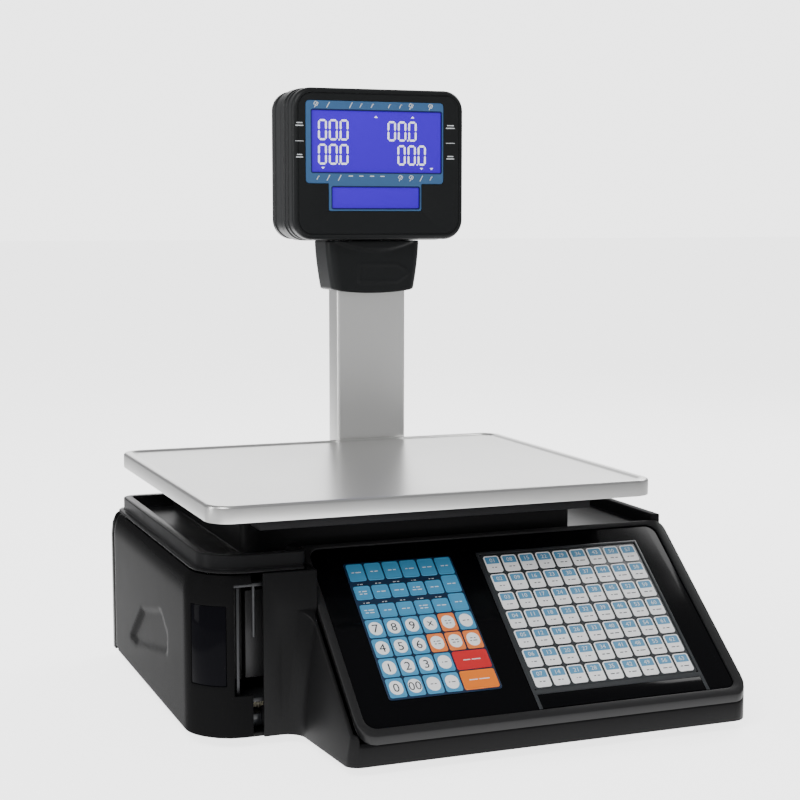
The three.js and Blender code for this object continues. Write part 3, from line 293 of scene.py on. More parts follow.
# ---- Mesh building ----------------------------------------------------------
class Shape:
    """A mesh under construction, in millimetres."""

    def __init__(self) -> None:
        """Starts an empty mesh."""
        self.bm = bmesh.new()

    def ring(self, points: Iterable[Sequence[float]]) -> Ring:
        """Adds a loop of vertices."""
        return [self.bm.verts.new(Vector(p)) for p in points]

    def turned(self, centre: Point, profile: Iterable[Point], count: int) -> list[Ring]:
        """Adds a circle of vertices for each (radius, height) of a turned profile."""
        return [self.ring((x, y, z) for x, y in circle(*centre, r, count)) for r, z in profile]

    def skin(self, rings: Sequence[Ring], wrap: bool = False, look: int = 0) -> None:
        """Covers the space between each ring and the next; wrap also joins the last to the first."""
        pairs = list(zip(rings, rings[1:])) + ([(rings[-1], rings[0])] if wrap else [])
        for low, high in pairs:
            for i in range(len(low)):
                j = (i + 1) % len(low)
                self.bm.faces.new((low[i], low[j], high[j], high[i])).material_index = look

    def cap(self, ring: Ring, look: int = 0) -> bmesh.types.BMFace:
        """Closes a ring with one face."""
        face = self.bm.faces.new(ring)
        face.material_index = look
        return face

    def sheet_between(self, outer: Ring, holes: Sequence[Ring], normal: Vector, look: int = 0) -> None:
        """Fills a flat area between a ring and the holes in it."""
        edges = []
        for loop in (outer, *holes):
            for i in range(len(loop)):
                pair = (loop[i], loop[(i + 1) % len(loop)])
                edges.append(self.bm.edges.get(pair) or self.bm.edges.new(pair))
        made = bmesh.ops.triangle_fill(self.bm, use_beauty=True, edges=edges, normal=normal)
        for item in made["geom"]:
            if isinstance(item, bmesh.types.BMFace):
                item.material_index = look

    def plate(
        self,
        outline: Sequence[Point],
        place: Place,
        low: float,
        high: float,
        edge: float = 0.0,
        look: int = 0,
    ) -> None:
        """A flat plate with a small chamfer round its face.

        Args:
            outline: Its outline, anticlockwise.
            place: Turns outline coordinates and a height into a point.
            low, high: Heights of its back and its face.
            edge: Width of the rounded edge.
            look: Which of the piece's materials it has.
        """
        centre = Vector((sum(p[0] for p in outline), sum(p[1] for p in outline))) / len(outline)

        def shrunk(inset: float) -> list[Point]:
            """The outline, moved inwards."""
            moved = []
            count = len(outline)
            for i in range(count):
                a, b, c = Vector(outline[i - 1]), Vector(outline[i]), Vector(outline[(i + 1) % count])
                along = (c - a).normalized() if (c - a).length > 0 else (b - centre).normalized()
                moved.append(tuple(b + Vector((-along.y, along.x)) * inset))
            return moved

        levels = [(0.0, low), (0.0, high - edge)] if edge else [(0.0, low), (0.0, high)]
        if edge:
            levels += [(edge * 0.3, high - edge * 0.3), (edge, high)]
        rings = [self.ring(place(x, y, z) for x, y in shrunk(inset)) for inset, z in levels]
        self.skin(rings, look=look)
        self.cap(list(reversed(rings[0])), look)
        self.cap(rings[-1], look)

    def tube(self, centre: Point, outer: float, inner: float, low: float, high: float, edge: float = 0.4) -> None:
        """An upright ring with rounded rims."""
        profile = [
            (outer, low + edge), (outer, high - edge), (outer - edge * 0.3, high - edge * 0.3),
            (outer - edge, high), (inner + edge, high), (inner, high - edge), (inner, low + edge),
            (inner + edge, low), (outer - edge, low), (outer - edge * 0.3, low + edge * 0.3),
        ]
        self.skin(self.turned(centre, profile, 64), wrap=True)

    def bar(
        self,
        place: Place,
        start: Point,
        end: Point,
        width: float,
        low: float,
        high: float,
        look: int = 0,
    ) -> None:
        """A thin printed stroke with pointed-off ends, from start to end."""
        a, b = Vector(start), Vector(end)
        along = (b - a).normalized()
        side = Vector((-along.y, along.x)) * width / 2
        tip = along * width / 2
        outline = [a, a + tip - side, b - tip - side, b, b - tip + side, a + tip + side]
        self.plate([tuple(p) for p in outline], place, low, high, look=look)

    def soften(self, angle: float, radius: float, clamp: bool = True) -> None:
        """Rounds the edges that bend by more than an angle in degrees."""
        limit = math.radians(angle)
        edges = [e for e in self.bm.edges if len(e.link_faces) == 2 and e.calc_face_angle(0.0) > limit]
        if edges and radius:
            bmesh.ops.bevel(
                self.bm, geom=edges, offset=radius, offset_type="OFFSET", segments=2, profile=0.5,
                affect="EDGES", clamp_overlap=clamp, material=-1,
            )

    def finish(
        self,
        name: str,
        body: str,
        looks: Sequence[Look],
        slot: str,
        replaces: Sequence[str] = (),
        smooth: Smooth = Smooth.NORMAL,
    ) -> bpy.types.Object:
        """Turns the shape into a piece of the object.

        Args:
            name: The piece's name.
            body: The body that it rides on.
            looks: Its materials, in the order that the faces number them.
            slot: The record's material slot; not used.
            replaces: The CAD nodes that it stands for.
            smooth: Where its edges stay sharp.

        Returns:
            The finished object.
        """
        bmesh.ops.recalc_face_normals(self.bm, faces=self.bm.faces)
        bmesh.ops.scale(self.bm, vec=(MM, MM, MM), verts=self.bm.verts)
        mesh = bpy.data.meshes.new(name)
        self.bm.to_mesh(mesh)
        self.bm.free()
        for polygon in mesh.polygons:
            polygon.use_smooth = True
        mesh.set_sharp_from_angle(angle=math.radians(smooth.value))
        for look in looks:
            mesh.materials.append(look.value.material())
        made = bpy.data.objects.new(name, mesh)
        bpy.context.scene.collection.objects.link(made)
        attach(made, body)
        if replaces:
            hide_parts(*replaces)
        LOG.info("%s: %d faces", name, len(mesh.polygons))
        return made


@dataclass(frozen=True)
class Box:
    """A CAD node's box, in millimetres."""

    low: Vector
    high: Vector

    @classmethod
    def of(cls, node: str) -> "Box":
        """The box of a CAD node at rest."""
        low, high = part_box(node)
        return cls(low / MM, high / MM)

    @property
    def centre(self) -> Vector:
        """The middle of the box."""
        return (self.low + self.high) / 2

    @property
    def size(self) -> Vector:
        """The box's three sides."""
        return self.high - self.low

    def outline(self, inset: float, corner: float, steps: int, sides: int = 1) -> list[Point]:
        """The box seen from above with rounded corners, moved inwards by inset."""
        return rounded_rectangle(
            self.low.x + inset, self.high.x - inset, self.low.y + inset, self.high.y - inset, corner, steps, sides
        )


@dataclass(frozen=True)
class Moulded:
    """A CAD part whose shape is right: its edges are rounded and it gets its finish.

    Args:
        node: The CAD node.
        body: The body it rides on.
        slot: The record's material slot.
        look: Its finish.
        edge: Radius of its edges in millimetres.
        smooth: Where its edges stay sharp.
        clamp: Whether a short edge limits the radius of its neighbours.
    """

    node: str
    body: str
    slot: str
    look: Look
    edge: float = 0.5
    smooth: Smooth = Smooth.NORMAL
    clamp: bool = True

    def build(self) -> bpy.types.Object:
        """Makes the rounded piece."""
        shape = Shape()
        shape.bm.from_mesh(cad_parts[self.node].data)
        bm = shape.bm
        bmesh.ops.scale(bm, vec=(1 / MM,) * 3, verts=bm.verts)
        bmesh.ops.remove_doubles(bm, verts=bm.verts, dist=WELD)
        bmesh.ops.dissolve_limit(bm, angle_limit=math.radians(FLAT_ANGLE), verts=bm.verts, edges=bm.edges)
        for face in bm.faces:
            face.material_index = 0
        shape.soften(MOULDED_ANGLE, self.edge, self.clamp)
        return shape.finish(self.node + "_look", self.body, [self.look], self.slot, [self.node], self.smooth)


# ---- Weighing pan -----------------------------------------------------------
@dataclass(frozen=True)
class WeighingPan:
    """The dished steel pan: a pressed sheet with a rolled edge and a turned-down skirt."""

    corner: float = 18.0
    sheet: float = 1.2
    roll: float = 2.2
    rim: float = 4.6
    fall: float = 5.5
    dish: float = 1.5
    least_corner: float = 2.0
    turns: int = 5
    slope: int = 6

    def build(self) -> bpy.types.Object:
        """Makes the pan from rings that follow the sheet round its edge."""
        box = Box.of("weighing_pan")
        top, foot = box.high.z, box.low.z
        outside = [(0.5, foot), (0.12, foot + 0.12), (0.0, foot + 0.6), (0.0, top - self.roll)]
        for step in range(1, self.turns + 1):
            angle = math.radians(90 * step / self.turns)
            outside.append((self.roll * (1 - math.cos(angle)), top - self.roll * (1 - math.sin(angle))))
        for step in range(self.slope + 1):
            share = step / self.slope
            outside.append((self.rim + self.fall * share, top - self.dish * smoothstep(share)))
        inside = [(inset, z - self.sheet) for inset, z in reversed(outside) if inset > self.roll]
        inside += [(self.roll, top - self.sheet), (self.sheet + 0.4, top - self.roll - 0.3)]
        inside += [(self.sheet, top - self.roll - 1.2), (self.sheet, foot + 0.6), (self.sheet - 0.3, foot)]
        shape = Shape()

        def ring(inset: float, z: float) -> Ring:
            """Adds the pan's outline, moved inwards, at a height."""
            outline = box.outline(inset, max(self.corner - inset, self.least_corner), 14)
            return shape.ring((x, y, z) for x, y in outline)

        upper = [ring(inset, z) for inset, z in outside]
        lower = [ring(inset, z) for inset, z in inside]
        shape.skin(upper)
        shape.skin(lower)
        shape.skin([lower[-1], upper[0]])
        shape.cap(upper[-1])
        shape.cap(lower[0])
        return shape.finish("pan_sheet", "pan", [Look.STEEL], "stainless", ["weighing_pan"])


# ---- Pole and collar --------------------------------------------------------
@dataclass(frozen=True)
class DisplayPole:
    """The drawn rectangular tube that carries the display."""

    wall: float = 1.5
    corner: float = 3.0
    edge: float = 0.4

    def build(self) -> bpy.types.Object:
        """Makes the tube with rounded corners and softened ends."""
        box = Box.of("pole")
        edge = self.edge
        low, high = box.low.z, box.high.z
        profile = [
            (0, low + edge), (0, high - edge), (edge, high), (self.wall - edge, high), (self.wall, high - edge),
            (self.wall, low + edge), (self.wall - edge, low), (edge, low),
        ]
        shape = Shape()
        rings = []
        for inset, z in profile:
            outline = box.outline(inset, self.corner - inset, 8)
            rings.append(shape.ring((x, y, z) for x, y in outline))
        shape.skin(rings, wrap=True)
        return shape.finish("pole_tube", "base", [Look.POLE], "pole_silver", ["pole"])


@dataclass(frozen=True)
class PoleCollar:
    """The tapered collar under the display, with its crescent lip and raised tongue."""

    corner: float = 9.0
    taper: float = 5.5
    sag: float = 4.0
    lip: float = 1.6
    crescent: Point = (41.0, 9.6)
    tongue: tuple[Point, ...] = ((-17, -20), (22, -20), (33, -27), (33, -32), (22, -39), (-17, -39))
    bore: float = 14.4
    bore_edge: float = 0.5
    fit: float = 0.4
    fit_corner: float = 3.4
    levels: int = 34
    sides: int = 46

    def relief(self, x: float, z: float) -> float:
        """How far the front stands out at a point, from the centre line and the top."""
        reach, drop = self.crescent
        crescent = drop * (1 - (x / reach) ** 2)
        out = self.lip * smoothstep((crescent + z) / self.lip)
        depth = inside_distance((x, z), self.tongue)
        return out + 0.9 * smoothstep(depth / 1.2) - 0.5 * smoothstep((depth - 1.6) / 1.4)

    def build(self) -> bpy.types.Object:
        """Makes the collar as rings from its lower edge to its top."""
        box, pole = Box.of("pole_collar"), Box.of("pole")
        centre = box.centre
        half = Vector((box.size.x / 2, box.size.y / 2 - self.lip))
        shape = Shape()
        rings = []
        profile = [(2.4, 0.0), (0.9, 0.004), (0.25, 0.015)]
        profile += [(0.0, 0.03 + 0.955 * k / self.levels) for k in range(self.levels + 1)] + [(0.5, 1.0)]
        for inset, share in profile:
            narrow = self.taper * (1 - share) ** 1.6
            outline = rounded_rectangle(
                centre.x - half.x + narrow + inset, centre.x + half.x - narrow - inset,
                centre.y - half.y + inset, centre.y + half.y - inset, self.corner, steps=8, sides=self.sides,
            )
            points = []
            for x, y in outline:
                foot = box.low.z + self.sag * ((x - centre.x) / half.x) ** 2
                z = foot + (box.high.z - foot) * share
                front = smoothstep((centre.y - half.y + 3 - y) / 2.9)
                y -= self.relief(x - centre.x, z - box.high.z) * front * (1 if inset < 1 else 0)
                points.append((x, y, z))
            rings.append(shape.ring(points))
        outline = [(v.co.x, v.co.y) for v in rings[-1]]

        def round_bore(radius: float, z: float) -> Ring:
            """Adds a circle with a point in line with each point of the outline."""
            angles = [math.atan2(y - pole.centre.y, x - pole.centre.x) for x, y in outline]
            return shape.ring(
                (pole.centre.x + radius * math.cos(a), pole.centre.y + radius * math.sin(a), z) for a in angles
            )

        def square_bore(z: float, sag: float) -> Ring:
            """Adds the socket for the pole, sagging to both sides."""
            fitted = pole.outline(-self.fit, self.fit_corner, 8, self.sides)
            return shape.ring((x, y, z + sag * ((x - centre.x) / half.x) ** 2) for x, y in fitted)

        bore, edge, socket = self.bore, self.bore_edge, pole.high.z + 0.6
        rings += [round_bore(bore + edge, box.high.z), round_bore(bore, box.high.z - edge)]
        rings += [round_bore(bore, socket), square_bore(socket, 0), square_bore(box.low.z + edge, self.sag)]
        shape.skin(rings, wrap=True)
        return shape.finish("collar_shell", "base", [Look.HEAD], "head_black", ["pole_collar"], Smooth.SOFT)


# ---- Display head -----------------------------------------------------------
@dataclass(frozen=True)
class Digits:
    """A group of noughts on the display, each made of six segments.

    Args:
        left, right, low, high: The group's area on the display.
        count: How many figures.
        point: Which figure has a decimal point after it.
        stroke: Width of a segment.
        gap: Space between the ends of two segments.
        space: Space between two figures.
        rise: How far the segments stand out.
    """

    left: float
    right: float
    low: float
    high: float
    count: int = 3
    point: int = 1
    stroke: float = 1.75
    gap: float = 0.35
    space: float = 1.9
    rise: float = 0.12

    def draw(self, shape: Shape, place: Place, low: float, look: int) -> None:
        """Adds the lit segments to a shape as thin raised bars."""
        pitch = (self.right - self.left + self.space) / self.count
        width = pitch - self.space
        middle = (self.low + self.high) / 2
        inner, g = self.stroke / 2, self.gap
        z0, z1 = self.low + inner, self.high - inner
        for index in range(self.count):
            x0 = self.left + index * pitch + inner
            x1 = x0 + width - self.stroke
            segments = (
                ((x0 + g, z1), (x1 - g, z1)), ((x1, z1 - g), (x1, middle + g)),
                ((x1, middle - g), (x1, z0 + g)), ((x0 + g, z0), (x1 - g, z0)),
                ((x0, middle - g), (x0, z0 + g)), ((x0, z1 - g), (x0, middle + g)),
            )
            for start, end in segments:
                shape.bar(place, start, end, self.stroke, low, low + self.rise, look)
            if index == self.point:
                dot = circle(x1 + pitch / 2 - width / 2 + inner + 0.55, z0 - 0.1, 0.8, 12)
                shape.plate(dot, place, low, low + self.rise, look=look)


@dataclass(frozen=True)
class DisplayHead:
    """The two-sided display: moulded shells, printed windows and lit panels."""

    radius: float = 19.0
    wall: float = 3.0
    steps: tuple[Point, ...] = (
        (0.0, 0.2), (0.0, 8.2), (0.9, 9.4), (0.9, 15.6), (1.7, 16.6), (1.7, 22.8), (0.8, 24.0), (0.8, 29.2),
        (1.0, 30.8), (1.7, 32.3), (2.8, 33.3), (4.2, 33.85), (5.2, 33.93), (5.5, 33.35), (6.1, 33.35), (6.4, 33.95),
    )
    window: Area = (-70.6, 62.6, 51.0, 125.0)
    tab: tuple[float, float, float] = (-49.0, 41.0, 26.4)
    main_lcd: Area = (-64.6, 60.2, 61.2, 116.4)
    small_lcd: Area = (-45.4, 38.6, 29.0, 48.2)
    groups: tuple[Digits, ...] = (
        Digits(-58.4, -29.6, 89.6, 108.2),
        Digits(7.9, 36.2, 89.6, 107.6),
        Digits(-58.5, -29.7, 68.0, 86.4),
        Digits(17.5, 45.3, 68.0, 86.2),
    )

    window_depths: Point = (0.5, 2.3)
    panel_depths: Point = (1.4, 5.6)
    print_rise: float = 0.04
    mark_rows: tuple[tuple[float, tuple[Point, ...]], ...] = (
        (120.9, (
            (-60.6, 2), (-49.1, 1), (-27.5, 1), (-18.1, 0), (-7.3, 0), (9.2, 0), (20.0, 0), (30.4, 2), (49.5, 2),
        )),
        (56.3, ((-59.0, 0), (-49.1, 1), (-38.4, 1), (20.2, 2), (30.6, 2), (40.6, 1), (50.0, 0))),
    )
    dashes: tuple[float, ...] = (-27.8, -17.7, -7.4, 2.6)
    dash_height: float = 58.0
    wedges: tuple[tuple[float, float, int], ...] = (
        (-3.2, 111.2, 1), (32.3, 111.4, 1), (-53.8, 65.0, -1), (41.1, 65.0, -1), (50.9, 65.0, -1),
    )

    def outline(self, inset: float) -> list[Point]:
        """The window and its tab, moved inwards by inset, anticlockwise seen from the front."""
        left, right, low, high = self.window
        tab_left, tab_right, tab_low = self.tab
        corner = max(4.0 - inset, 0.6)
        return rounded_corners([
            (left + inset, high - inset, corner), (left + inset, low + inset, corner),
            (tab_left + inset, low + inset, 0.8), (tab_left + inset, tab_low + inset, 2.0),
            (tab_right - inset, tab_low + inset, 2.0), (tab_right - inset, low + inset, 0.8),
            (right - inset, low + inset, corner), (right - inset, high - inset, corner),
        ])

    def build(self) -> list[bpy.types.Object]:
        """Makes both sides of the head."""
        return [piece for side in ("front", "rear") for piece in self.side(side)]

    def side(self, name: str) -> list[bpy.types.Object]:
        """Makes one side: its shell, window and panel.

        Args:
            name: "front" or "rear".

        Returns:
            The three pieces.
        """
        shell_box = Box.of("head_shell_" + name)
        middle_x = shell_box.centre.x
        foot = shell_box.low.z
        forward = -1.0 if name == "front" else 1.0
        split = shell_box.high.y + 0.2 if name == "front" else shell_box.low.y - 0.2
        half_width, height = shell_box.size.x / 2, shell_box.size.z

        def place(x: float, z: float, depth: float) -> Vector:
            """A point on this side: x to the right, z up, and a depth outwards from the split."""
            return Vector((middle_x - forward * x, split + forward * depth, foot + z))

        shape = Shape()

        def face_ring(inset: float, depth: float) -> Ring:
            """Adds the shell's outline, moved inwards, at a depth."""
            outline = rounded_rectangle(
                -half_width + inset, half_width - inset, inset, height - inset, self.radius - inset, steps=12
            )
            return shape.ring(place(x, z, depth) for x, z in outline)

        outside = [face_ring(inset, depth) for inset, depth in self.steps]
        depth = self.steps[-1][1]
        inner_face = depth - self.wall
        inside = [face_ring(self.wall + 0.8, d) for d in (inner_face, self.steps[0][1])]
        shape.skin(outside)
        shape.skin(inside)
        shape.skin([inside[-1], outside[0]])
        lip = self._rims(
            shape, place, ((-0.35, depth), (-0.1, depth - 0.12), (0.0, depth - 0.4), (0.0, inner_face))
        )
        shape.skin(lip)
        outward = Vector((0, forward, 0))
        shape.sheet_between(outside[-1], [lip[0]], outward)
        shape.sheet_between(inside[0], [lip[-1]], -outward)
        self._side_marks(shape, place, depth)
        pieces = [shape.finish(
            f"head_{name}", "display", [Look.HEAD, Look.PRINT], "head_black", ["head_shell_" + name], Smooth.CRISP
        )]
        pieces.append(self._window(name, place, depth))
        pieces.append(self._panel(name, place, depth))
        return pieces

    def _rims(self, shape: Shape, place: Place, levels: Iterable[Point]) -> list[Ring]:
        """Adds the window's outline at each (inset, depth)."""
        return [shape.ring(place(x, z, d) for x, z in self.outline(inset)) for inset, d in levels]

    def _side_marks(self, shape: Shape, place: Place, depth: float) -> None:
        """Adds the printed dividers and short plain strokes beside the window."""
        for left, right in ((-80.0, -72.4), (64.6, 73.6)):
            shape.bar(place, (left, 88.6), (right, 88.6), 0.5, depth, depth + 0.03, 1)
            for z, share in ((104.6, 0.8), (102.2, 1.0), (76.6, 0.7), (74.4, 0.9)):
                middle, reach = (left + right) / 2, (right - left) * share / 2
                shape.bar(place, (middle - reach, z), (middle + reach, z), 0.9, depth, depth + 0.03, 1)

    def _window(self, name: str, place: Place, depth: float) -> bpy.types.Object:
        """Makes the printed window with its two openings and slanted marks."""
        shape = Shape()
        face, back = (depth - sunk for sunk in self.window_depths)
        printed = face + self.print_rise

        def rectangle(area: Area, grow: float, d: float) -> Ring:
            """Adds an opening's outline, moved outwards, at a depth."""
            left, right, low, high = area
            points = rounded_rectangle(left - grow, right + grow, low - grow, high + grow, 1.2 + grow, steps=4)
            return shape.ring(place(x, z, d) for x, z in points)

        edge = self._rims(shape, place, ((0.3, back), (0.3, face - 0.2), (0.5, face)))
        shape.skin(edge)
        openings = (self.main_lcd, self.small_lcd)
        print_edge = [rectangle(area, 1.0, face) for area in openings]
        shape.sheet_between(edge[-1], print_edge, Vector((0, 1, 0)))
        clear_edge = []
        for area, outer in zip(openings, print_edge):
            inner = rectangle(area, 0.0, face)
            deep = rectangle(area, 0.0, back)
            shape.skin([outer, inner, deep], look=1)
            clear_edge.append(deep)
        shape.sheet_between(edge[0], clear_edge, Vector((0, -1, 0)))
        for z, marks in self.mark_rows:
            for x, kind in marks:
                self._mark(shape, place, x, z, face, kind)
        for x in self.dashes:
            shape.bar(place, (x - 2.2, self.dash_height), (x + 2.2, self.dash_height), 0.9, face, printed, 2)
        return shape.finish(
            f"window_{name}", "display", [Look.BORDER, Look.EDGE, Look.PRINT], "display_glass",
            ["display_window_" + name],
        )

    def _mark(
        self, shape: Shape, place: Place, x: float, z: float, face: float, kind: int
    ) -> None:
        """Adds one slanted mark: a short stroke, a long stroke, or a long stroke with a loop."""
        printed = face + self.print_rise
        reach = 1.9 if kind == 0 else 2.7
        lean = reach * 0.55
        shape.bar(place, (x - lean, z - reach), (x + lean, z + reach), 0.75, face, printed, 2)
        strokes = []
        if kind == 0:
            strokes = [((x - 0.1, z + 1.2), (x + 1.9, z + 1.4))]
        if kind == 2:
            corners = [(x - 2.2, z + 0.6), (x - 0.6, z + 2.9), (x + 2.3, z + 1.5), (x + 0.9, z - 1.2)]
            strokes = zip(corners, corners[1:] + corners[:1])
        for start, end in strokes:
            shape.bar(place, start, end, 0.6, face, printed, 2)

    def _panel(self, name: str, place: Place, depth: float) -> bpy.types.Object:
        """Makes the lit panel behind the window, with its figures."""
        shape = Shape()
        face, back = (depth - sunk for sunk in self.panel_depths)
        for left, right, low, high in (self.main_lcd, self.small_lcd):
            outline = rounded_rectangle(left + 0.25, right - 0.25, low + 0.25, high - 0.25, 1.0, steps=3)
            shape.plate(outline, place, back, face, 0.2, 0)
        for group in self.groups:
            group.draw(shape, place, face, 1)
        for x, z, up in self.wedges:
            wedge = [(x - 1.7, z - up * 0.9), (x + 1.7, z - up * 0.9), (x, z + up * 0.9)]
            shape.plate(wedge if up > 0 else wedge[::-1], place, face, face + 0.12, look=1)
        return shape.finish(
            f"lcd_{name}", "display", [Look.LCD, Look.SEGMENT], "lcd_violet", ["lcd_module_" + name]
        )


# ---- Console ----------------------------------------------------------------
class Glyphs:
    """Figures of the plain built-in typeface, as small raised shapes."""

    def __init__(self) -> None:
        """Starts with no figures made."""
        self._cache: dict[str, tuple[list[Vector], list[list[int]]]] = {}

    def _outline(self, text: str) -> tuple[list[Vector], list[list[int]]]:
        """Returns a string's vertices and faces, centred, with a height of about 1."""
        if text not in self._cache:
            curve = bpy.data.curves.new("figure", "FONT")
            curve.body, curve.align_x, curve.align_y = text, "CENTER", "CENTER"
            curve.extrude, curve.resolution_u = 0.01, 3
            holder = bpy.data.objects.new("figure", curve)
            bpy.context.scene.collection.objects.link(holder)
            mesh = bpy.data.meshes.new_from_object(holder.evaluated_get(bpy.context.evaluated_depsgraph_get()))
            points = [v.co.copy() for v in mesh.vertices]
            faces = [list(p.vertices) for p in mesh.polygons]
            middle = (max(p.y for p in points) + min(p.y for p in points)) / 2
            tall = max(p.y for p in points) - min(p.y for p in points)
            wide = (max(p.x for p in points) + min(p.x for p in points)) / 2
            points = [Vector(((p.x - wide) / tall, (p.y - middle) / tall, p.z)) for p in points]
            self._cache[text] = (points, faces)
            bpy.data.objects.remove(holder)
            bpy.data.meshes.remove(mesh)
        return self._cache[text]

    def draw(
        self,
        shape: Shape,
        text: str,
        place: Place,
        centre: Point,
        height: float,
        level: float,
        look: int,
    ) -> None:
        """Adds a string to a shape, centred on a point at a height above the face."""
        points, faces = self._outline(text)
        verts = shape.ring(
            place(centre[0] + p.x * height, centre[1] + p.y * height, level + p.z) for p in points
        )
        for indices in faces:
            corners = [verts[i] for i in indices]
            if len(set(corners)) > 2 and not shape.bm.faces.get(corners):
                shape.bm.faces.new(corners).material_index = look


@dataclass(frozen=True)
class KeyGrid:
    """A block of keys on the sloping face.

    Args:
        left, top: Corner of the block, from the console's left and down its slope.
        pitch: Distance between keys across and down.
        columns, rows: How many keys.
        gap: Space between keys.
    """

    left: float
    top: float
    pitch: tuple[float, float]
    columns: int
    rows: int
    gap: float

    def cell(self, row: int, column: int, wide: int = 1, short: float = 0.0) -> Area:
        """A key's left, right, low and high, with y up the slope."""
        x = self.left + column * self.pitch[0]
        y = -(self.top + row * self.pitch[1])
        half = self.gap / 2
        return (
            x + half, x + wide * self.pitch[0] - half, y - self.pitch[1] + half, y - half - short,
        )


class Key(Enum):
    """What a function key shows."""

    BLUE = 0
    SHORT = 1
    DISC = 2
    ORANGE_DISC = 3
    RED = 4
    AMBER = 5


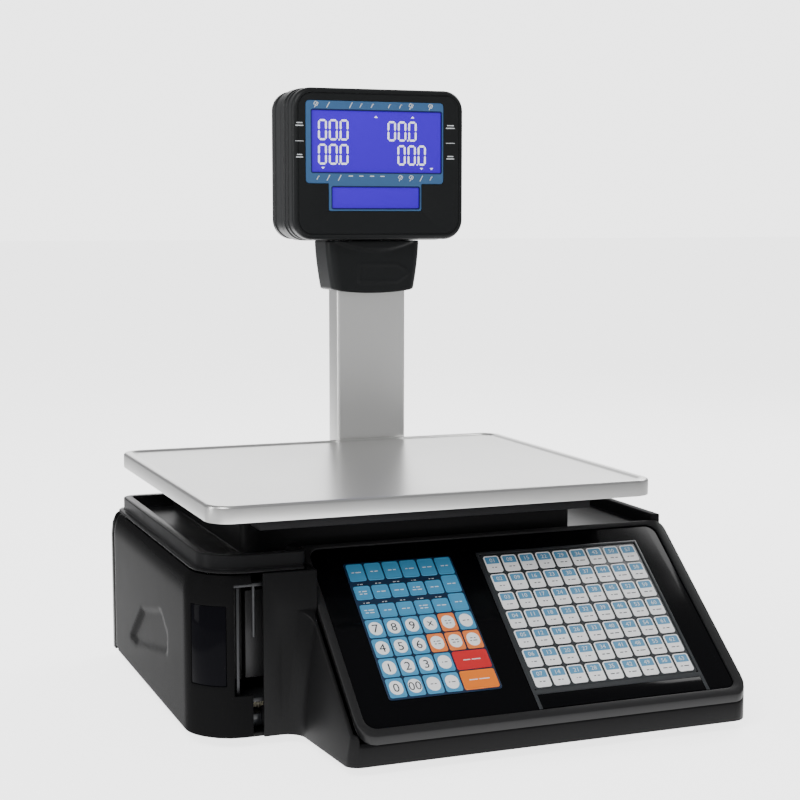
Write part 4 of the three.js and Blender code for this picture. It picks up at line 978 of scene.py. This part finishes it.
@dataclass(frozen=True)
class Console:
    """The sloping operating face: bezel, gloss panel, two key blocks and their frame."""

    bezel: float = 5.0
    web: float = -0.4
    key_top: float = 0.2
    print_rise: float = 0.04
    margin: float = 0.9
    slope_rounds: int = 12
    band: Point = (0.95, 7.9)
    key_levels: tuple[Point, ...] = ((0.12, -0.06), (0.4, 0.0), (0.75, -0.02), (1.05, -0.14), (1.6, -0.16))
    function: KeyGrid = KeyGrid(31.0, 21.6, (14.5, 18.0), 6, 7, 1.4)
    plu: KeyGrid = KeyGrid(144.0, 23.8, (15.05, 18.4), 9, 7, 2.1)
    figures: tuple[tuple[str, ...], ...] = (("7", "8", "9", "x"), ("4", "5", "6"), ("1", "2", "3"), ("0", "00"))
    glyphs: Glyphs = field(default_factory=Glyphs)

    @property
    def face(self) -> float:
        """Level of the sunken middle of a key."""
        return self.key_top + self.key_levels[-1][1]

    def place(self) -> Place:
        """The console's own axes: x right, y up the slope, z out of the face."""
        box = Box.of("console_bezel")
        slope = math.atan2(box.size.z, box.size.y)
        for _ in range(self.slope_rounds):
            slope = math.atan2(box.size.z - self.bezel / math.cos(slope), box.size.y)
        corner = Vector((box.low.x, box.high.y, box.high.z))
        turn = Matrix.Rotation(slope, 3, "X")
        return lambda x, y, z: corner + turn @ Vector((x, y, z))

    def build(self) -> list[bpy.types.Object]:
        """Makes both key blocks; the bezel, panel and frame are moulded parts."""
        return [self._function_keys(), self._plu_keys()]

    def _key(
        self, shape: Shape, place: Place, cell: Area, look: int, corner: float = 1.7
    ) -> None:
        """Adds one embossed key: a raised rim round a slightly sunken face."""
        left, right, low, high = cell
        top = self.key_top
        levels = [(0.0, self.web - 0.2), (0.0, top - 0.28), *((inset, top + z) for inset, z in self.key_levels)]
        rings = []
        for inset, z in levels:
            outline = rounded_rectangle(
                left + inset, right - inset, low + inset, high - inset, max(corner - inset * 0.7, 0.5), steps=5
            )
            rings.append(shape.ring(place(x, y, z) for x, y in outline))
        shape.skin(rings, look=look)
        shape.cap(rings[-1], look)
        shape.cap(list(reversed(rings[0])), look)

    def _membrane(self, shape: Shape, place: Place, grid: KeyGrid) -> None:
        """Adds the sheet that a block's keys are pressed from."""
        margin = self.margin
        outline = rounded_rectangle(
            grid.left - margin, grid.left + grid.columns * grid.pitch[0] + margin,
            -(grid.top + grid.rows * grid.pitch[1]) - margin, -grid.top + margin, 2.4, steps=5,
        )
        shape.plate(outline, place, self.web - 0.5, self.web, 0.15, 0)

    def _words(
        self, shape: Shape, place: Place, cell: Area, seed: int, look: int,
        lines: int = 1, width: float = 0.6, thick: float = 0.8,
    ) -> None:
        """Adds plain dashes where a key carries its caption."""
        left, right, low, high = cell
        level = self.face
        for line in range(lines):
            y = (low + high) / 2 + (lines - 1) * 1.2 - line * 2.4
            share = width * (1 - 0.22 * ((seed * 7 + line * 5) % 4) / 3)
            reach = (right - left) * share / 2
            middle = (left + right) / 2
            cut = middle - reach + 2 * reach * (0.35 + 0.1 * ((seed + line) % 3))
            for start, end in ((middle - reach, cut - 0.4), (cut + 0.4, middle + reach)):
                shape.bar(place, (start, y), (end, y), thick, level, level + self.print_rise, look)

    def _plan(self, row: int, column: int) -> Key:
        """What the function key at a row and column is."""
        if row == 0 or (row < 3 and column == 5):
            return Key.BLUE
        if row < 3:
            return Key.SHORT
        if (row == 3 and column == 4) or (row == 4 and column > 2):
            return Key.ORANGE_DISC
        if row > 4 and column == 4:
            return Key.RED if row == 5 else Key.AMBER
        return Key.DISC

    def _function_keys(self) -> bpy.types.Object:
        """Makes the left block: function keys above, figures and payment keys below."""
        shape, place, grid = Shape(), self.place(), self.function
        self._membrane(shape, place, grid)
        blue, white, orange, red, amber, ink, print_ = 1, 2, 3, 4, 5, 6, 7
        base = {Key.BLUE: blue, Key.SHORT: blue, Key.DISC: blue, Key.ORANGE_DISC: orange, Key.RED: red,
                Key.AMBER: amber}
        level = self.face
        for row in range(grid.rows):
            for column in range(grid.columns):
                if row > 4 and column == 5:
                    continue
                kind = self._plan(row, column)
                seed = row * grid.columns + column
                wide = 2 if kind in (Key.RED, Key.AMBER) else 1
                cell = grid.cell(row, column, wide, 3.6 if kind is Key.SHORT else 0.0)
                self._key(shape, place, cell, base[kind])
                left, right, low, high = cell
                middle = ((left + right) / 2, (low + high) / 2)
                if kind is Key.SHORT:
                    above = (left, right, high + 0.8, high + 3.0)
                    self._words(shape, lambda x, y, z: place(x, y, z + self.web - level), above, seed, print_,
                                width=0.4, thick=0.6)
                if kind in (Key.DISC, Key.ORANGE_DISC):
                    disc = rounded_rectangle(
                        left + 1.5, right - 1.5, low + 2.2, high - 2.2, (right - left) / 2 - 1.55, steps=9
                    )
                    shape.plate(disc, place, level - 0.02, level + 0.05, look=white)
                    line = self.figures[row - 3]
                    if column < len(line):
                        tall = 4.2 if line[column] == "x" else 7.2
                        self.glyphs.draw(shape, line[column], place, middle, tall, level + 0.07, ink)
                    else:
                        self._words(shape, lambda x, y, z: place(x, y, z + 0.04), cell, seed, ink,
                                    lines=2 if kind is Key.ORANGE_DISC else 1, width=0.46, thick=0.7)
                else:
                    lines = 2 if kind is Key.SHORT and seed % 3 == 0 else 1
                    self._words(shape, place, cell, seed, print_, lines=lines)
        looks = [Look.WEB, Look.BLUE, Look.WHITE, Look.ORANGE, Look.RED, Look.AMBER, Look.INK, Look.PRINT]
        return shape.finish("function_keys", "base", looks, "keys_blue", ["function_keypad"])

    def _plu_keys(self) -> bpy.types.Object:
        """Makes the right block: numbered keys with a coloured band."""
        shape, place, grid = Shape(), self.place(), self.plu
        self._membrane(shape, place, grid)
        level = self.face
        for row in range(grid.rows):
            for column in range(grid.columns):
                cell = grid.cell(row, column)
                self._key(shape, place, cell, 1, 2.0)
                left, right, low, high = cell
                inset, depth = self.band
                band = rounded_rectangle(left + inset, right - inset, high - depth, high - inset, 0.6, steps=3)
                shape.plate(band, place, level - 0.02, level + self.print_rise, look=2)
                number = row + column * grid.rows + 1
                centre = ((left + right) / 2, high - 4.5)
                self.glyphs.draw(shape, f"{number:02d}", place, centre, 3.6, level + 0.06, 4)
                y = (low + high - 7.0) / 2
                self._words(
                    shape, place, (left, right, y - 1.6, y + 1.6), number, 3,
                    width=0.42 if column < 4 else 0.62, thick=0.75,
                )
        looks = [Look.FRAME, Look.WHITE, Look.PALE, Look.INK, Look.PRINT]
        return shape.finish("plu_keys", "base", looks, "keys_white", ["plu_keypad"])


# ---- Printer door -----------------------------------------------------------
@dataclass(frozen=True)
class PrinterDoor:
    """The curved door over the printer: one moulded skin with a finger dent and a window."""

    nose: float = 36.0
    wall: float = 3.0
    roll: Point = (20.0, 8.0)
    deck_joint: float = 129.0
    slot: tuple[float, float, float] = (78.8, 38.5, 121.0)
    window: Area = (20.0, 70.0, 46.0, 106.0)
    dent: tuple[Point, ...] = ((53, 69), (-13.5, 83), (-38, 68), (-37, 50), (74, 30), (105, 31))
    dent_depth: float = 2.4
    tail: Point = (153.0, 9.8)
    side_steps: int = 56
    nose_steps: int = 18
    front_steps: int = 3
    height_steps: int = 44
    least_step: float = 0.8
    edge: float = 0.5
    lug_feet: Point = (20.0, 88.0)
    lug_height: float = 9.0
    lug_radius: float = 3.4
    lug_root: float = 2.6
    lug_play: float = 0.3
    glass_gap: float = 0.6
    glass_steps: int = 24

    def inset(self, z: float) -> float:
        """How far the skin has rolled in at a height."""
        tall, deep = self.roll
        share = min(max((z - (self.deck_joint - tall)) / tall, 0.0), 1.0)
        return deep * (1 - math.sqrt(1 - share * share))

    def stations(self, box: Box) -> list[tuple[str, float]]:
        """Where the skin is sampled along its plan: the side, round the nose and along the front."""
        centre_y, sides, turns, fronts = box.low.y + self.nose, self.side_steps, self.nose_steps, self.front_steps
        places = {box.high.y + (centre_y - box.high.y) * k / sides for k in range(sides + 1)} | {self.tail[0]}
        side = [("side", y) for y in sorted(places, reverse=True)]
        marks = sorted({*(90 * k / turns for k in range(1, turns + 1)), *self.window[:2], self.slot[0]})
        nose_end = box.low.x + self.nose
        front = [("front", nose_end + (box.high.x - nose_end) * k / fronts) for k in range(1, fronts + 1)]
        return side + [("nose", angle) for angle in marks] + front

    def point(self, box: Box, station: tuple[str, float], z: float, inward: float) -> Vector:
        """A point on the skin, moved inwards by a distance."""
        kind, value = station
        step = self.inset(z) + inward
        centre = Vector((box.low.x + self.nose, box.low.y + self.nose))
        if kind == "side":
            sunk = self.dent_depth * smoothstep(inside_distance((value, z), self.dent) / 6)
            return Vector((box.low.x + step + sunk, value, z))
        if kind == "front":
            return Vector((value, box.low.y + step, z))
        angle = math.radians(value)
        radius = self.nose - step
        return Vector((centre.x - radius * math.cos(angle), centre.y - radius * math.sin(angle), z))

    def build(self) -> list[bpy.types.Object]:
        """Makes the skin with its hinge lugs, and the window in it."""
        box = Box.of("printer_door")
        stations = self.stations(box)
        low_slot, high_slot = self.slot[1:]
        low_glass, high_glass = self.window[2:]
        count = self.height_steps
        heights = {box.low.z + (box.high.z - box.low.z) * k / count for k in range(count + 1)}
        fixed = {low_slot, high_slot, low_glass, high_glass, self.tail[1]}
        heights = sorted({h for h in heights if min(abs(h - f) for f in fixed) > self.least_step} | fixed)
        shape = Shape()
        outer = [[shape.bm.verts.new(self.point(box, s, z, 0)) for z in heights] for s in stations]
        inner = [[shape.bm.verts.new(self.point(box, s, z, self.wall)) for z in heights] for s in stations]

        def solid(i: int, j: int) -> bool:
            """Whether the skin covers the patch after station i and height j."""
            if not (0 <= i < len(stations) - 1 and 0 <= j < len(heights) - 1):
                return False
            low, high = heights[j], heights[j + 1]
            kind, start = stations[i]
            if kind == "side" and start > self.tail[0] + 0.01 and high <= self.tail[1]:
                return False
            if kind == "front" or (kind == "nose" and start >= self.slot[0] - 0.01):
                return not (low >= low_slot and high <= high_slot)
            in_glass = kind == "nose" and self.window[0] <= start < self.window[1]
            return not (in_glass and low >= low_glass and high <= high_glass)

        for i in range(len(stations) - 1):
            for j in range(len(heights) - 1):
                if not solid(i, j):
                    continue
                for grid in (outer, inner):
                    shape.bm.faces.new((grid[i][j], grid[i + 1][j], grid[i + 1][j + 1], grid[i][j + 1]))
                rims = [
                    (solid(i - 1, j), (i, j), (i, j + 1)), (solid(i + 1, j), (i + 1, j), (i + 1, j + 1)),
                    (solid(i, j - 1), (i, j), (i + 1, j)), (solid(i, j + 1), (i, j + 1), (i + 1, j + 1)),
                ]
                for covered, (a, b), (c, d) in rims:
                    if not covered:
                        shape.bm.faces.new((outer[a][b], outer[c][d], inner[c][d], inner[a][b]))
        loose = [v for v in shape.bm.verts if not v.link_faces]
        bmesh.ops.delete(shape.bm, geom=loose, context="VERTS")
        bmesh.ops.recalc_face_normals(shape.bm, faces=shape.bm.faces)
        shape.soften(DOOR_ANGLE, self.edge)
        self._lugs(shape)
        door = shape.finish("door_skin", "door", [Look.DOOR], "door_black", ["printer_door"])
        return [door, self._glass(box)]

    def _lugs(self, shape: Shape) -> None:
        """Adds the two hinge eyes that turn on the pin."""
        pin = Box.of("door_hinge_pin")
        x, y = pin.centre.x, pin.centre.y

        def around(radius: float, angles: Iterable[float]) -> list[Point]:
            """Points at a distance from the pin's axis."""
            return [(x + radius * math.cos(a), y + radius * math.sin(a)) for a in angles]

        eye, root = self.lug_radius, x - self.lug_root
        outer = around(eye, (math.radians(-90 + 180 * k / 12) for k in range(13)))
        outer += [(root, y + eye), (root, y - eye)]
        bore = around(pin.size.x / 2 + self.lug_play, [math.atan2(b - y, a - x) for a, b in outer])
        for foot in self.lug_feet:
            top = foot + self.lug_height
            rings = [
                shape.ring((a, b, level) for a, b in points)
                for points, level in ((outer, foot), (outer, top), (bore, top), (bore, foot))
            ]
            shape.skin(rings, wrap=True)

    def _glass(self, box: Box) -> bpy.types.Object:
        """Makes the smoked window that follows the nose."""
        shape = Shape()
        glass = Box.of("door_window")
        low, high = glass.low.z, glass.high.z
        first, last = self.window[0] + self.glass_gap, self.window[1] - self.glass_gap
        count = self.glass_steps

        def arc(inset: float, trim: float, z: float) -> list[Vector]:
            """Points round the nose at a height, cut shorter at both ends."""
            span = [first + trim + (last - first - 2 * trim) * k / count for k in range(count + 1)]
            return [self.point(box, ("nose", a), z, inset - self.inset(z)) for a in span]

        def ring(inset: float, trim: float, cut: float) -> Ring:
            """Adds the pane's outline at a depth under the skin."""
            return shape.ring([*arc(inset, trim, low + cut), *reversed(arc(inset, trim, high - cut))])

        rings = [ring(2.6, 0.4, 0.3), ring(2.3, 0.0, 0.0), ring(0.9, 0.0, 0.0), ring(0.6, 0.7, 0.5)]
        shape.skin(rings)
        for loop in (rings[0], rings[-1]):
            for k in range(count):
                shape.bm.faces.new((loop[k], loop[k + 1], loop[-k - 2], loop[-k - 1]))
        return shape.finish("door_glass", "door", [Look.SMOKED], "smoked_window", ["door_window"])


# ---- Small fittings ---------------------------------------------------------
@dataclass(frozen=True)
class LevelVial:
    """The round spirit level on the deck."""

    rim: float = 2.2
    bubble_offset: Point = (0.4, -0.3)

    def build(self) -> bpy.types.Object:
        """Makes the ring, the domed glass and the bubble under it."""
        box = Box.of("bubble_level")
        x, y = box.centre.x, box.centre.y
        outer, top = box.size.x / 2, box.high.z
        inner = outer - self.rim
        shape = Shape()
        shape.tube((x, y), outer, inner, box.low.z, top, 0.5)
        dome = [(inner, top - 1.6), (outer - 3.2, top - 0.9), (outer * 0.5, top - 0.45), (outer * 0.2, top - 0.3)]
        rings = shape.turned((x, y), dome, 48)
        (base,) = shape.turned((x, y), [(inner, box.low.z + 0.5)], 48)
        shape.skin([base, *rings], look=1)
        shape.cap(rings[-1], 1)
        shape.cap(list(reversed(base)), 1)
        middle = (x + self.bubble_offset[0], y + self.bubble_offset[1])
        bubble = shape.turned(middle, [(2.3, top - 0.4), (2.2, top - 0.22), (1.2, top - 0.14)], 32)
        shape.skin(bubble, look=2)
        shape.cap(bubble[-1], 2)
        shape.cap(list(reversed(bubble[0])), 2)
        looks = [Look.TRIM, Look.VIAL, Look.BUBBLE]
        return shape.finish("vial", "base", looks, "level_vial", ["bubble_level"])


@dataclass(frozen=True)
class LabelRoll:
    """The roll of labels on its card core."""

    core: float = 2.2
    bore: float = 13.0
    turns: int = 14
    loose: float = 0.15

    def build(self) -> bpy.types.Object:
        """Makes the wound paper, with its loose turns standing out a little, and the core."""
        box = Box.of("label_roll")
        x, y = box.centre.x, box.centre.y
        outer = box.size.x / 2
        inner, turns = self.bore, self.turns
        shape = Shape()
        low, high = box.low.z, box.high.z
        wound = [
            (outer - (outer - inner - self.core) * k / turns, high - (self.loose if k % 2 else 0.0))
            for k in range(turns + 1)
        ]
        levels = [(outer, low + 0.3), (outer, high - 0.3), *wound, *((r, low + high - z) for r, z in reversed(wound))]
        shape.skin(shape.turned((x, y), levels, 72), wrap=True)
        rim = inner + self.core - 0.1
        card = [(rim, low), (rim, high), (inner, high), (inner, low)]
        shape.skin(shape.turned((x, y), card, 72), wrap=True, look=1)
        return shape.finish("paper_roll", "roll", [Look.PAPER, Look.CARD], "label_paper", ["label_roll"])


MOULDED_PARTS = (
    Moulded("base_plate", "base", "case_black", Look.CASE, 0.6, clamp=False),
    Moulded("lower_case", "base", "case_black", Look.CASE, 1.0, clamp=False),
    Moulded("deck", "base", "case_black", Look.DECK, 1.0, clamp=False),
    Moulded("console_bezel", "base", "bezel_black", Look.BEZEL, 0.45, clamp=False),
    Moulded("keypad_panel", "base", "panel_gloss", Look.PANEL, 0.25),
    Moulded("plu_frame", "base", "frame_grey", Look.FRAME, 0.25),
    Moulded("plu_card_strip", "base", "panel_gloss", Look.PANEL, 0.15),
    Moulded("pan_carrier", "carrier", "carrier_casting", Look.SHADED_CAST, 0.6, clamp=False),
    *(Moulded(f"pan_pad_{i}", "carrier", "rubber", Look.RUBBER, 0.4) for i in range(1, 5)),
    *(Moulded(f"foot_{n}", f"foot_{b}", "rubber", Look.RUBBER, 0.6) for n, b in
      (("front_left", "fl"), ("front_right", "fr"), ("rear_left", "rl"), ("rear_right", "rr"))),
    Moulded("pole_bracket", "base", "case_black", Look.CASE, 0.6),
    Moulded("bracket_screw_1", "base", "zinc_plate", Look.PLATED, 0.3),
    Moulded("bracket_screw_2", "base", "zinc_plate", Look.PLATED, 0.3),
    Moulded("port_panel", "base", "frame_grey", Look.FRAME, 0.3),
    Moulded("power_inlet", "base", "case_black", Look.TRIM, 0.4),
    Moulded("switch_frame", "base", "case_black", Look.TRIM, 0.3),
    Moulded("power_rocker", "rocker", "rocker_red", Look.ROCKER, 0.3),
    Moulded("lan_port", "base", "zinc_plate", Look.PLATED, 0.2),
    Moulded("serial_port", "base", "zinc_plate", Look.PLATED, 0.3),
    Moulded("printer_frame", "base", "zinc_plate", Look.SHADED, 0.3),
    Moulded("label_sensor", "base", "case_black", Look.TRIM, 0.3),
    Moulded("platen_roller", "platen", "rubber", Look.RUBBER, 0.2),
    Moulded("motor_pinion", "pinion", "gear_nylon", Look.NYLON, 0.1),
    Moulded("stepper_motor", "base", "motor_can", Look.CAN, 0.5),
    Moulded("print_head", "head_arm", "aluminium", Look.SHADED_HEATSINK, 0.4),
    Moulded("head_release_lever", "head_arm", "lever_green", Look.LEVER, 0.5),
    Moulded("peel_bar", "base", "stainless", Look.SHADED, 0.4),
    Moulded("roll_spindle", "roll", "spool_grey", Look.SPOOL, 0.4),
    Moulded("rewind_spool", "rewind", "spool_grey", Look.SPOOL, 0.5),
    Moulded("door_latch", "latch", "case_black", Look.TRIM, 0.4),
)


@dataclass(frozen=True)
class Interior:
    """The parts inside the case, which keep their CAD shape."""

    looks: tuple[tuple[str, Look], ...] = (
        ("load_cell", Look.ALLOY),
        ("load_cell_pedestal", Look.SHADED_CAST),
        ("overload_stop_screw", Look.PLATED),
        ("door_hinge_pin", Look.PLATED),
        ("keypad_board", Look.CIRCUIT),
        ("mainboard", Look.CIRCUIT),
        ("power_supply", Look.PLATED),
        ("display_board", Look.CIRCUIT),
        ("swivel_stem", Look.TRIM),
    )

    def build(self) -> None:
        """Gives each of them its finish."""
        for node, look in self.looks:
            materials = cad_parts[node].data.materials
            materials.clear()
            materials.append(look.value.material())
            LOG.info("%s keeps its shape", node)


# ---- Studio -----------------------------------------------------------------
@dataclass(frozen=True)
class Lamp:
    """One soft box pointing at a place; lengths in metres and power in watts."""

    name: str
    at: tuple[float, float, float]
    aim: tuple[float, float, float]
    size: Point
    power: float

    def build(self) -> None:
        """Adds the lamp."""
        data = bpy.data.lights.new(self.name, "AREA")
        data.shape, data.energy = "RECTANGLE", self.power
        data.size, data.size_y = self.size
        made = bpy.data.objects.new(self.name, data)
        made.location = self.at
        made.rotation_euler = (Vector(self.aim) - Vector(self.at)).to_track_quat("-Z", "Y").to_euler()
        bpy.context.scene.collection.objects.link(made)


@dataclass(frozen=True)
class Studio:
    """The camera, the pale floor and the soft lights.

    The bright part of the floor and of the room lies ahead of the camera's fixed place and
    heading. It stays where it is when the object is seen from another side.

    Args:
        eye, turn, lens: The camera's place in metres, turn in degrees and focal length.
        backdrop, ambient: Brightness of the room ahead of the camera and elsewhere.
        horizon: Between which cosines off the heading the room goes from one to the other.
        floor_glow: Light given off by the bright part of the floor.
        pool: Between which cosines off the heading the floor's glow rises.
        pool_start: Between which distances from the camera it rises.
        floor_drop: How far the floor lies under the feet.
    """

    eye: tuple[float, float, float] = (-0.4917, -1.2795, 0.3880)
    turn: tuple[float, float, float] = (83.71, 0.0, -21.15)
    lens: float = 75.2
    backdrop: float = 3.4
    ambient: float = 0.40
    floor_glow: float = 3.0
    horizon: Point = (0.90, 0.95)
    pool: Point = (0.945, 0.966)
    pool_start: Point = (0.55, 1.0)
    floor_drop: float = 0.0005
    floor_reach: float = 25.0
    sensor: float = 36.0
    far: float = 60.0
    lamps: tuple[Lamp, ...] = (
        Lamp("key", (-1.2, -1.0, 1.7), (0, 0, 0.2), (1.2, 1.2), 32),
        Lamp("rim", (1.4, 0.9, 1.5), (0, 0, 0.2), (1.4, 0.8), 22),
        Lamp("side", (-1.9, 0.3, 0.7), (-0.1, 0, 0.15), (0.5, 1.3), 12),
    )

    def ahead(self) -> Vector:
        """Which way the camera looks, level with the floor."""
        return Matrix.Rotation(math.radians(self.turn[2]), 3, "Z") @ Vector((0, 1, 0))

    def camera(self) -> None:
        """Sets the camera."""
        lens = bpy.data.cameras.new("camera")
        lens.lens, lens.sensor_width, lens.clip_end = self.lens, self.sensor, self.far
        made = bpy.data.objects.new("camera", lens)
        made.location = self.eye
        made.rotation_euler = [math.radians(a) for a in self.turn]
        bpy.context.scene.collection.objects.link(made)
        bpy.context.scene.camera = made

    def floor(self) -> None:
        """Lays a wide floor under the feet."""
        bm = bmesh.new()
        bmesh.ops.create_grid(bm, x_segments=1, y_segments=1, size=self.floor_reach)
        mesh = bpy.data.meshes.new("floor")
        bm.to_mesh(mesh)
        bm.free()
        look = Finish("studio_floor", (0.90, 0.90, 0.90), 0.8, 0.03, relief=0.0, index=1.1).material()
        mesh.materials.append(look)
        tree = look.node_tree

        def vector_step(operation: str, source: bpy.types.NodeSocket, other: Sequence[float] = ()) -> bpy.types.Node:
            """Adds one vector operation fed by a socket."""
            node = tree.nodes.new("ShaderNodeVectorMath")
            node.operation = operation
            tree.links.new(source, node.inputs[0])
            if other:
                node.inputs[1].default_value = other
            return node

        def fade(source: bpy.types.NodeSocket, span: Point, full: float) -> bpy.types.NodeSocket:
            """Rises smoothly from nothing to full over a span."""
            node = tree.nodes.new("ShaderNodeMapRange")
            node.interpolation_type = "SMOOTHSTEP"
            node.inputs["From Min"].default_value, node.inputs["From Max"].default_value = span
            node.inputs["To Max"].default_value = full
            tree.links.new(source, node.inputs["Value"])
            return node.outputs["Result"]

        spot = tree.nodes.new("ShaderNodeTexCoord").outputs["Object"]
        away = vector_step("SUBTRACT", spot, (*self.eye[:2], 0.0)).outputs["Vector"]
        heading = vector_step("NORMALIZE", away).outputs["Vector"]
        facing = vector_step("DOT_PRODUCT", heading, tuple(self.ahead())).outputs["Value"]
        distance = vector_step("LENGTH", away).outputs["Value"]
        product = tree.nodes.new("ShaderNodeMath")
        product.operation = "MULTIPLY"
        tree.links.new(fade(facing, self.pool, self.floor_glow), product.inputs[0])
        tree.links.new(fade(distance, self.pool_start, 1.0), product.inputs[1])
        tree.links.new(product.outputs["Value"], tree.nodes["Principled BSDF"].inputs["Emission Strength"])
        made = bpy.data.objects.new("floor", mesh)
        made.location.z = -self.floor_drop
        bpy.context.scene.collection.objects.link(made)

    def sky(self) -> None:
        """Lights the room: a white backdrop ahead of the camera, dimmer elsewhere."""
        world = bpy.data.worlds.new("room")
        world.use_nodes = True
        tree = world.node_tree
        coords = tree.nodes.new("ShaderNodeTexCoord")
        facing = tree.nodes.new("ShaderNodeVectorMath")
        facing.operation = "DOT_PRODUCT"
        facing.inputs[1].default_value = self.ahead()
        ramp = tree.nodes.new("ShaderNodeValToRGB")
        ramp.color_ramp.interpolation = "EASE"
        near, far = ramp.color_ramp.elements
        near.position, far.position = self.horizon
        near.color = (self.ambient, self.ambient, self.ambient * 1.02, 1)
        far.color = (self.backdrop, self.backdrop, self.backdrop, 1)
        tree.links.new(coords.outputs["Generated"], facing.inputs[0])
        tree.links.new(facing.outputs["Value"], ramp.inputs["Fac"])
        tree.links.new(ramp.outputs["Color"], tree.nodes["Background"].inputs["Color"])
        tree.nodes["Background"].inputs["Strength"].default_value = 1.0
        bpy.context.scene.world = world

    def build(self) -> None:
        """Sets the whole studio up."""
        self.camera()
        self.floor()
        self.sky()
        for lamp in self.lamps:
            lamp.build()


def main() -> None:
    """Builds every part in order."""
    logging.basicConfig(level=logging.INFO, format="%(message)s")
    Studio().build()
    own = (Interior, WeighingPan, DisplayPole, PoleCollar, DisplayHead, Console, PrinterDoor, LevelVial, LabelRoll)
    for part in (*MOULDED_PARTS, *(kind() for kind in own)):
        part.build()


if __name__ == "__main__":
    main()
